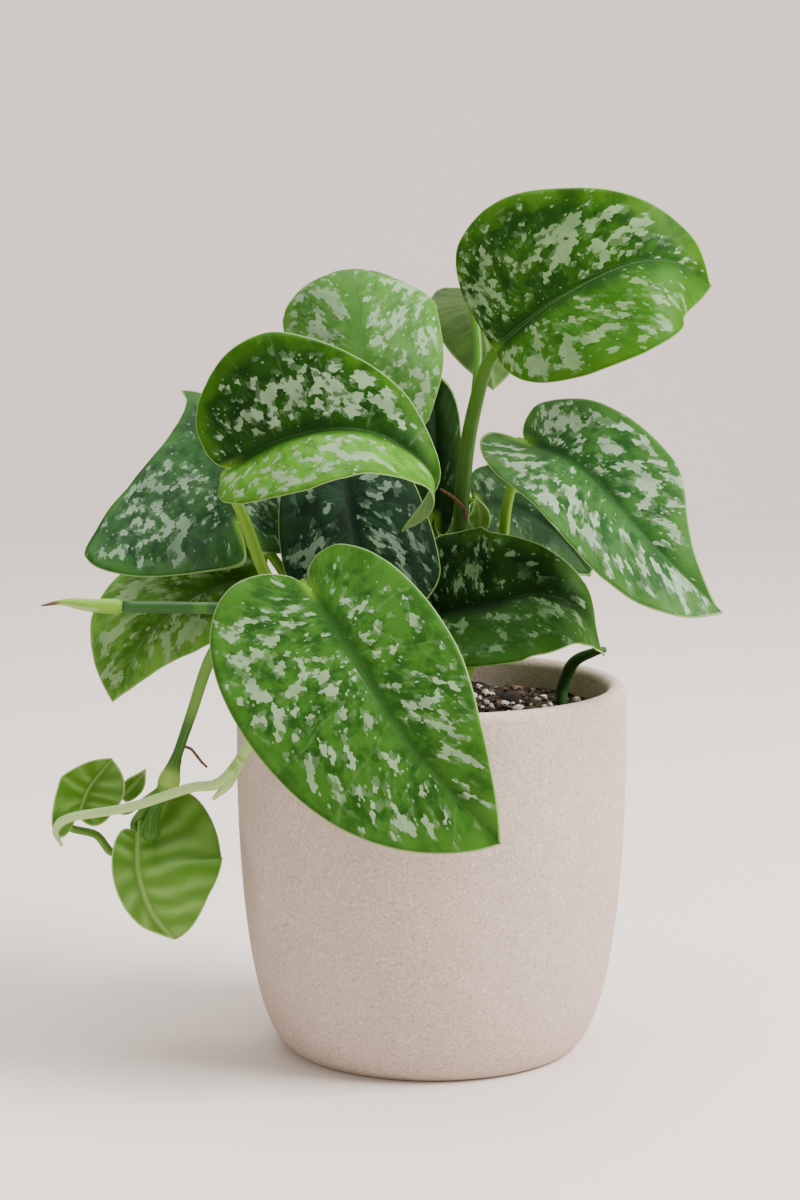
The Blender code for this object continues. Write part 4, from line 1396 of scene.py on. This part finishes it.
def clay_finish(name, pot):
    """Unglazed stoneware: a warm pale clay with fine sand, soft clouds and small pits."""
    shade = Shade(name)
    where = shade.place()
    grain = pot.grain / MM
    clouds = shade.noise(where, 38.0, 3.0, 0.55)
    blotches = shade.noise(where, 7.0, 3.0, 0.6)
    sand = shade.noise(where, grain, 3.0, 0.7)
    colour = shade.mix(scaled(pot.clay, 0.93), tuple(pot.clay), shade.smooth(clouds, 0.3, 0.7))
    colour = shade.mix(colour, scaled(pot.clay, 1.07), shade.smooth(blotches, 0.4, 0.7) * 0.5)
    colour = shade.mix(colour, tuple(pot.sand), shade.smooth(sand, 0.48, 0.68) * 0.55)
    pale = shade.smooth(shade.noise(where, grain * 1.4, 2.0, 0.6), 0.56, 0.7)
    colour = shade.mix(colour, PALE_SAND, pale * 0.4)
    specks = shade.smooth(shade.cells(where, 2.0), 0.16, 0.08)
    colour = shade.mix(colour, DARK_SPECK, specks * shade.smooth(blotches, 0.4, 0.6) * 0.4)
    pits = shade.smooth(shade.cells(where, 1.3), 0.05, 0.25)
    normal = shade.bump(sand * 0.6 + pits * 0.4, 0.3, 1.0)
    return shade.finish(base_color=colour, roughness=0.85, specular=0.12, normal=normal)


class POTHOS_OT_pot(Operator):
    """Turns the round stoneware pot"""

    bl_idname = "pothos.pot"
    bl_label = "Pot"

    def execute(self, context):
        sizes = context.scene.pothos_pot
        points, faces = turned_arrays(pot_profile(44, 20), sizes.sides)
        piece = mesh_piece("pot_stoneware", points, faces, [clay_finish("stoneware", sizes)])
        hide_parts("pot")
        return {"FINISHED"}


def soil_finish(name, colours):
    """Dark moist crumbs with brown flecks."""
    shade = Shade(name)
    where = shade.place()
    crumbs = shade.noise(where, 1.6, 4.0, 0.7)
    flecks = shade.noise(where, 3.0, 3.0, 0.6)
    colour = shade.mix(scaled(colours.dark, 0.35), tuple(colours.dark), shade.smooth(crumbs, 0.3, 0.7))
    colour = shade.mix(colour, scaled(colours.bark, 0.5), shade.smooth(flecks, 0.55, 0.7) * 0.6)
    normal = shade.bump(crumbs, 0.6, 0.8)
    return shade.finish(base_color=colour, roughness=0.9, specular=0.3, normal=normal)


def chip_finish(name, colours):
    """Bark and crumbs, each of its own brown."""
    shade = Shade(name)
    tone = shade.stored_number("tone")
    where = shade.place()
    fibre = shade.noise(where, 0.9, 3.0, 0.65)
    dark = scaled(colours.dark, 0.6)
    colour = shade.mix(dark, tuple(colours.bark), tone)
    colour = shade.mix(colour, dark, shade.smooth(fibre, 0.5, 0.75) * 0.7)
    normal = shade.bump(fibre, 0.4, 0.8)
    return shade.finish(base_color=colour, roughness=0.85, specular=0.3, normal=normal)


def grain_finish(name, colours):
    """Porous white grains, stained by the soil."""
    shade = Shade(name)
    tone = shade.stored_number("tone")
    where = shade.place()
    pores = shade.smooth(shade.cells(where, 0.9), 0.1, 0.4)
    stain = shade.smooth(shade.noise(where, 2.0, 3.0, 0.6), 0.5, 0.7)
    colour = shade.mix(scaled(colours.white, 0.55), tuple(colours.white), tone)
    colour = shade.mix(colour, tuple(colours.bark), stain * 0.7)
    colour = shade.mix(tuple(colours.bark), colour, pores * 0.6 + 0.4)
    normal = shade.bump(pores, 0.3, 0.8)
    return shade.finish(base_color=colour, roughness=0.85, specular=0.3, normal=normal)


def soil_height(x, y):
    """The height of the soil's surface in mm: broad mounds with crumbs on them."""
    points = np.stack([x, y, np.zeros_like(x)], axis=-1)
    mounds = 1.6 * rough(points, 16.0) + 0.9 * rough(points + 50, 6.0)
    crumbs = 0.6 * rough(points + 90, 2.2) + 0.35 * rough(points + 130, 1.1)
    return SOIL_TOP + mounds + crumbs - 0.6


# The corners of an icosahedron lie in three rectangles of this proportion
GOLDEN = 1.618
ICO_POINTS = np.array(
    [(0, a, b * GOLDEN) for a in (-1, 1) for b in (-1, 1)]
    + [(a, b * GOLDEN, 0) for a in (-1, 1) for b in (-1, 1)]
    + [(b * GOLDEN, 0, a) for a in (-1, 1) for b in (-1, 1)],
    float,
)


def hull_faces(points):
    """The triangles of the convex hull of a few points, each facing outwards."""
    faces = []
    count = len(points)
    for a in range(count):
        for b in range(a + 1, count):
            for c in range(b + 1, count):
                normal = np.cross(points[b] - points[a], points[c] - points[a])
                sides = (points - points[a]) @ normal
                if np.all(sides < 1e-6):
                    faces.append((a, b, c))
                elif np.all(sides > -1e-6):
                    faces.append((a, c, b))
    return np.array(faces)


def lump(detail):
    """A round lump of triangles: an icosahedron, split once or not."""
    points = unit(ICO_POINTS)
    faces = hull_faces(points)
    for _ in range(detail):
        points = [tuple(point) for point in points]
        found = {}
        split = []
        for a, b, c in faces:
            middles = []
            for first, last in ((a, b), (b, c), (c, a)):
                key = (min(first, last), max(first, last))
                if key not in found:
                    found[key] = len(points)
                    points.append(tuple((np.array(points[first]) + np.array(points[last])) / 2))
                middles.append(found[key])
            ab, bc, ca = middles
            split += [(a, ab, ca), (ab, b, bc), (ca, bc, c), (ab, bc, ca)]
        faces = np.array(split)
        points = unit(np.array(points))
    return points, faces


def turned(points, angle, axis):
    """The points turned round X ("x") or Z ("z")."""
    c, s = math.cos(angle), math.sin(angle)
    rows = [[1, 0, 0], [0, c, -s], [0, s, c]] if axis == "x" else [[c, -s, 0], [s, c, 0], [0, 0, 1]]
    return points @ np.array(rows)


def scattered(name, count, sizes, flat, detail, jitter, draw, finish, clear):
    """Many small lumps lying on the soil, each turned, stretched and dented, as one piece."""
    base, faces = lump(detail)
    all_points = []
    all_faces = []
    tones = []
    edge = INSIDE_RADIUS - 2
    while len(all_points) < count:
        angle = draw.uniform(0, 2 * math.pi)
        radius = edge * math.sqrt(draw.random())
        x, y = radius * math.cos(angle), radius * math.sin(angle)
        size = draw.triangular(sizes[0], sizes[1], sizes[0])
        on_stem = any(math.hypot(x - a, y - b) < c + 0.6 * size for a, b, c in clear)
        if on_stem or radius + size > edge + 1:
            continue
        shape = base * (1 + jitter * np.array([draw.uniform(-1, 1) for _ in base])[:, None])
        shape = shape * np.array([size, size * draw.uniform(0.45, 0.9), size * draw.uniform(*flat)]) / 2
        spin = draw.uniform(0, 2 * math.pi)
        tip = draw.uniform(-0.5, 0.5)
        shape = turned(turned(shape, tip, "x"), spin, "z")
        height = soil_height(np.array([x]), np.array([y]))[0] + 0.12 * size
        all_faces.append(faces + len(all_points) * len(base))
        all_points.append(shape + np.array([x, y, height]))
        tones += [draw.random() ** 1.6] * len(base)
    piece = mesh_piece(name, np.concatenate(all_points), np.concatenate(all_faces).tolist(), [finish])
    store(piece, "tone", np.array(tones))
    return piece


class POTHOS_OT_soil(Operator):
    """Fills the pot with potting mix: dark crumbs, bark, white grains and fibres"""

    bl_idname = "pothos.soil"
    bl_label = "Soil"

    def execute(self, context):
        sizes = context.scene.pothos_soil
        wall = [inside_radius(step / 10, SOIL_GAP) for step in range(11)]
        edge = wall[-1][0]
        profile = [(0, FLOOR_THICKNESS + SOIL_GAP), *wall]
        profile += [(edge * (1 - ring / sizes.rings), SOIL_TOP) for ring in range(sizes.rings + 1)]
        points, faces = turned_arrays(profile, SOIL_SIDES)
        top = points[:, 2] > SOIL_TOP - 1
        points[top, 2] = soil_height(points[top, 0], points[top, 1])
        soil = mesh_piece("soil_mix", points, faces, [soil_finish("potting_mix", sizes)])
        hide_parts("soil")
        feet = [tube for tubes in STEMS.values() for tube in tubes if tube.foot]
        clear = [(tube.points[0][0], tube.points[0][1], tube.radii[0]) for tube in feet]
        draw = random.Random(sizes.seed)
        chips = chip_finish("bark", sizes)
        grains = grain_finish("white_grains", sizes)
        pieces = [
            scattered("soil_bark", sizes.chips // 6, (3.0, 8.5), (0.2, 0.45), 1, 0.16, draw, chips, clear),
            scattered("soil_crumbs", sizes.chips, (0.9, 3.2), (0.4, 0.9), 0, 0.3, draw, chips, clear),
            scattered("soil_grains", sizes.grains, (1.4, 5.4), (0.6, 0.95), 1, 0.2, draw, grains, clear),
            self.fibres(sizes, draw, chips),
        ]
        return {"FINISHED"}

    def fibres(self, sizes, draw, finish):
        """Thin curved fibres that lie on the soil."""
        sides = 5
        all_points = []
        all_faces = []
        for _ in range(sizes.fibres):
            angle = draw.uniform(0, 2 * math.pi)
            radius = (INSIDE_RADIUS - 9) * math.sqrt(draw.random())
            heading = draw.uniform(0, 2 * math.pi)
            middle = np.array([radius * math.cos(angle), radius * math.sin(angle)])
            length = draw.uniform(4, 12)
            curve = draw.uniform(-2.5, 2.5)
            steps = np.linspace(-0.5, 0.5, 7)
            ahead = np.array([math.cos(heading), math.sin(heading)])
            aside = np.array([-ahead[1], ahead[0]])
            flat = middle + np.outer(steps * length, ahead) + np.outer(curve * (0.25 - steps**2) * 2, aside)
            height = soil_height(flat[:, 0], flat[:, 1]).mean() + 0.7 + 0.6 * np.cos(steps * 3)
            tube = Tube(np.column_stack([flat, height]), (0.12, 0.2, 0.12))
            rings, _, _ = tube_rings(tube, 2, sides, 0.0)
            first = sum(len(points) for points in all_points)
            all_faces += tube_faces(len(rings), sides, first)
            all_points.append(rings.reshape(-1, 3))
        points = np.concatenate(all_points)
        piece = mesh_piece("soil_fibres", points, all_faces, [finish])
        store(piece, "tone", np.full(len(points), 0.8))
        return piece


def floor_finish(name, colour):
    """The plain matt floor."""
    return Shade(name).finish(base_color=tuple(colour), roughness=0.7, specular=0.2)


class POTHOS_OT_stage(Operator):
    """Sets the pale floor that sweeps up behind, the soft lights, the room's light and the camera"""

    bl_idname = "pothos.stage"
    bl_label = "Studio"

    def execute(self, context):
        stage = context.scene.pothos_stage
        self.floor(context, stage)
        self.light(context, "key", (1.1, -0.35, 1.15), stage.key, 0.9)
        self.light(context, "top", (-0.2, 0.1, 1.5), stage.key * 0.3, 1.1)
        self.light(context, "fill", (-1.2, -1.0, 0.7), stage.fill, 1.2)
        self.light(context, "wash", (0.0, 1.2, 2.5), stage.wash, 1.2, (0.0, 2.7, 1.2))
        world = bpy.data.worlds.new("room")
        world.use_nodes = True
        sky = world.node_tree.nodes["Background"]
        sky.inputs["Color"].default_value = ROOM_TINT
        sky.inputs["Strength"].default_value = stage.sky
        context.scene.world = world
        self.camera(context, stage)
        return {"FINISHED"}

    def floor(self, context, stage):
        """The floor that bends up into the backdrop."""
        profile = [(-FLOOR_REACH, 0.0), (BEND_START, 0.0)]
        for step in range(1, BEND_STEPS + 1):
            turn = math.pi / 2 * step / BEND_STEPS
            profile.append((BEND_START + BEND_RADIUS * math.sin(turn), BEND_RADIUS * (1 - math.cos(turn))))
        profile.append((BEND_START + BEND_RADIUS, BACKDROP_TOP))
        points = [(side * FLOOR_REACH * 1.5, y, z) for y, z in profile for side in (-1, 1)]
        faces = [(2 * i, 2 * i + 1, 2 * i + 3, 2 * i + 2) for i in range(len(profile) - 1)]
        mesh = bpy.data.meshes.new("floor")
        mesh.from_pydata(points, [], faces)
        mesh.shade_smooth()
        mesh.materials.append(floor_finish("floor", stage.floor))
        floor = bpy.data.objects.new("floor", mesh)
        context.scene.collection.objects.link(floor)

    def camera(self, context, stage):
        """The camera at the photo's viewing angle."""
        camera = bpy.data.cameras.new("camera")
        camera.lens = stage.lens
        camera.sensor_width = 36.0
        camera.sensor_fit = "AUTO"
        camera.clip_start = 0.05
        camera.clip_end = 20.0
        holder = bpy.data.objects.new("camera", camera)
        holder.location = CAMERA_PLACE
        holder.rotation_euler = (math.pi / 2 - stage.tilt, 0.0, 0.0)
        context.scene.collection.objects.link(holder)
        context.scene.camera = holder

    def light(self, context, name, place, power, size, target=PLANT_MIDDLE):
        """A square soft light that looks at the plant or at another target."""
        lamp = bpy.data.lights.new(name, "AREA")
        lamp.energy = power
        lamp.shape = "SQUARE"
        lamp.size = size
        holder = bpy.data.objects.new(name, lamp)
        holder.location = place
        aim = Vector(target) - Vector(place)
        holder.rotation_euler = aim.to_track_quat("-Z", "Y").to_euler()
        context.scene.collection.objects.link(holder)


class POTHOS_PT_sidebar(Panel):
    """Lists the plant's parts with their sizes and colours"""

    bl_idname = "POTHOS_PT_sidebar"
    bl_label = "Satin Pothos"
    bl_space_type = "VIEW_3D"
    bl_region_type = "UI"
    bl_category = "Pothos"

    def draw(self, context):
        for group, operators in GROUPS.items():
            box = self.layout.box()
            settings = getattr(context.scene, group)
            for key in settings.__annotations__:
                box.prop(settings, key)
            for operator in operators:
                box.operator(operator.bl_idname)


GROUPS = {
    "pothos_pot": (POTHOS_OT_pot,),
    "pothos_soil": (POTHOS_OT_soil,),
    "pothos_stems": (POTHOS_OT_stems, POTHOS_OT_roots),
    "pothos_blades": (POTHOS_OT_blades, POTHOS_OT_young),
    "pothos_stage": (POTHOS_OT_stage,),
}
SETTINGS = {
    "pothos_pot": PothosPot,
    "pothos_soil": PothosSoil,
    "pothos_stems": PothosStems,
    "pothos_blades": PothosBlades,
    "pothos_stage": PothosStage,
}
OPERATORS = [operator for group in GROUPS.values() for operator in group]


def register():
    """Registers the settings, operators and panel, and puts the settings on the scene."""
    for kind in (*SETTINGS.values(), *OPERATORS, POTHOS_PT_sidebar):
        bpy.utils.register_class(kind)
    for name, kind in SETTINGS.items():
        setattr(bpy.types.Scene, name, PointerProperty(type=kind))


def unregister():
    """Takes back what register does."""
    for name in SETTINGS:
        delattr(bpy.types.Scene, name)
    for kind in (POTHOS_PT_sidebar, *reversed(OPERATORS), *SETTINGS.values()):
        bpy.utils.unregister_class(kind)


def main():
    """Builds the stage and every piece."""
    register()
    bpy.ops.pothos.stage()
    bpy.ops.pothos.pot()
    bpy.ops.pothos.soil()
    bpy.ops.pothos.stems()
    bpy.ops.pothos.roots()
    bpy.ops.pothos.blades()
    bpy.ops.pothos.young()
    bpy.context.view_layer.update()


if __name__ == "__main__":
    main()
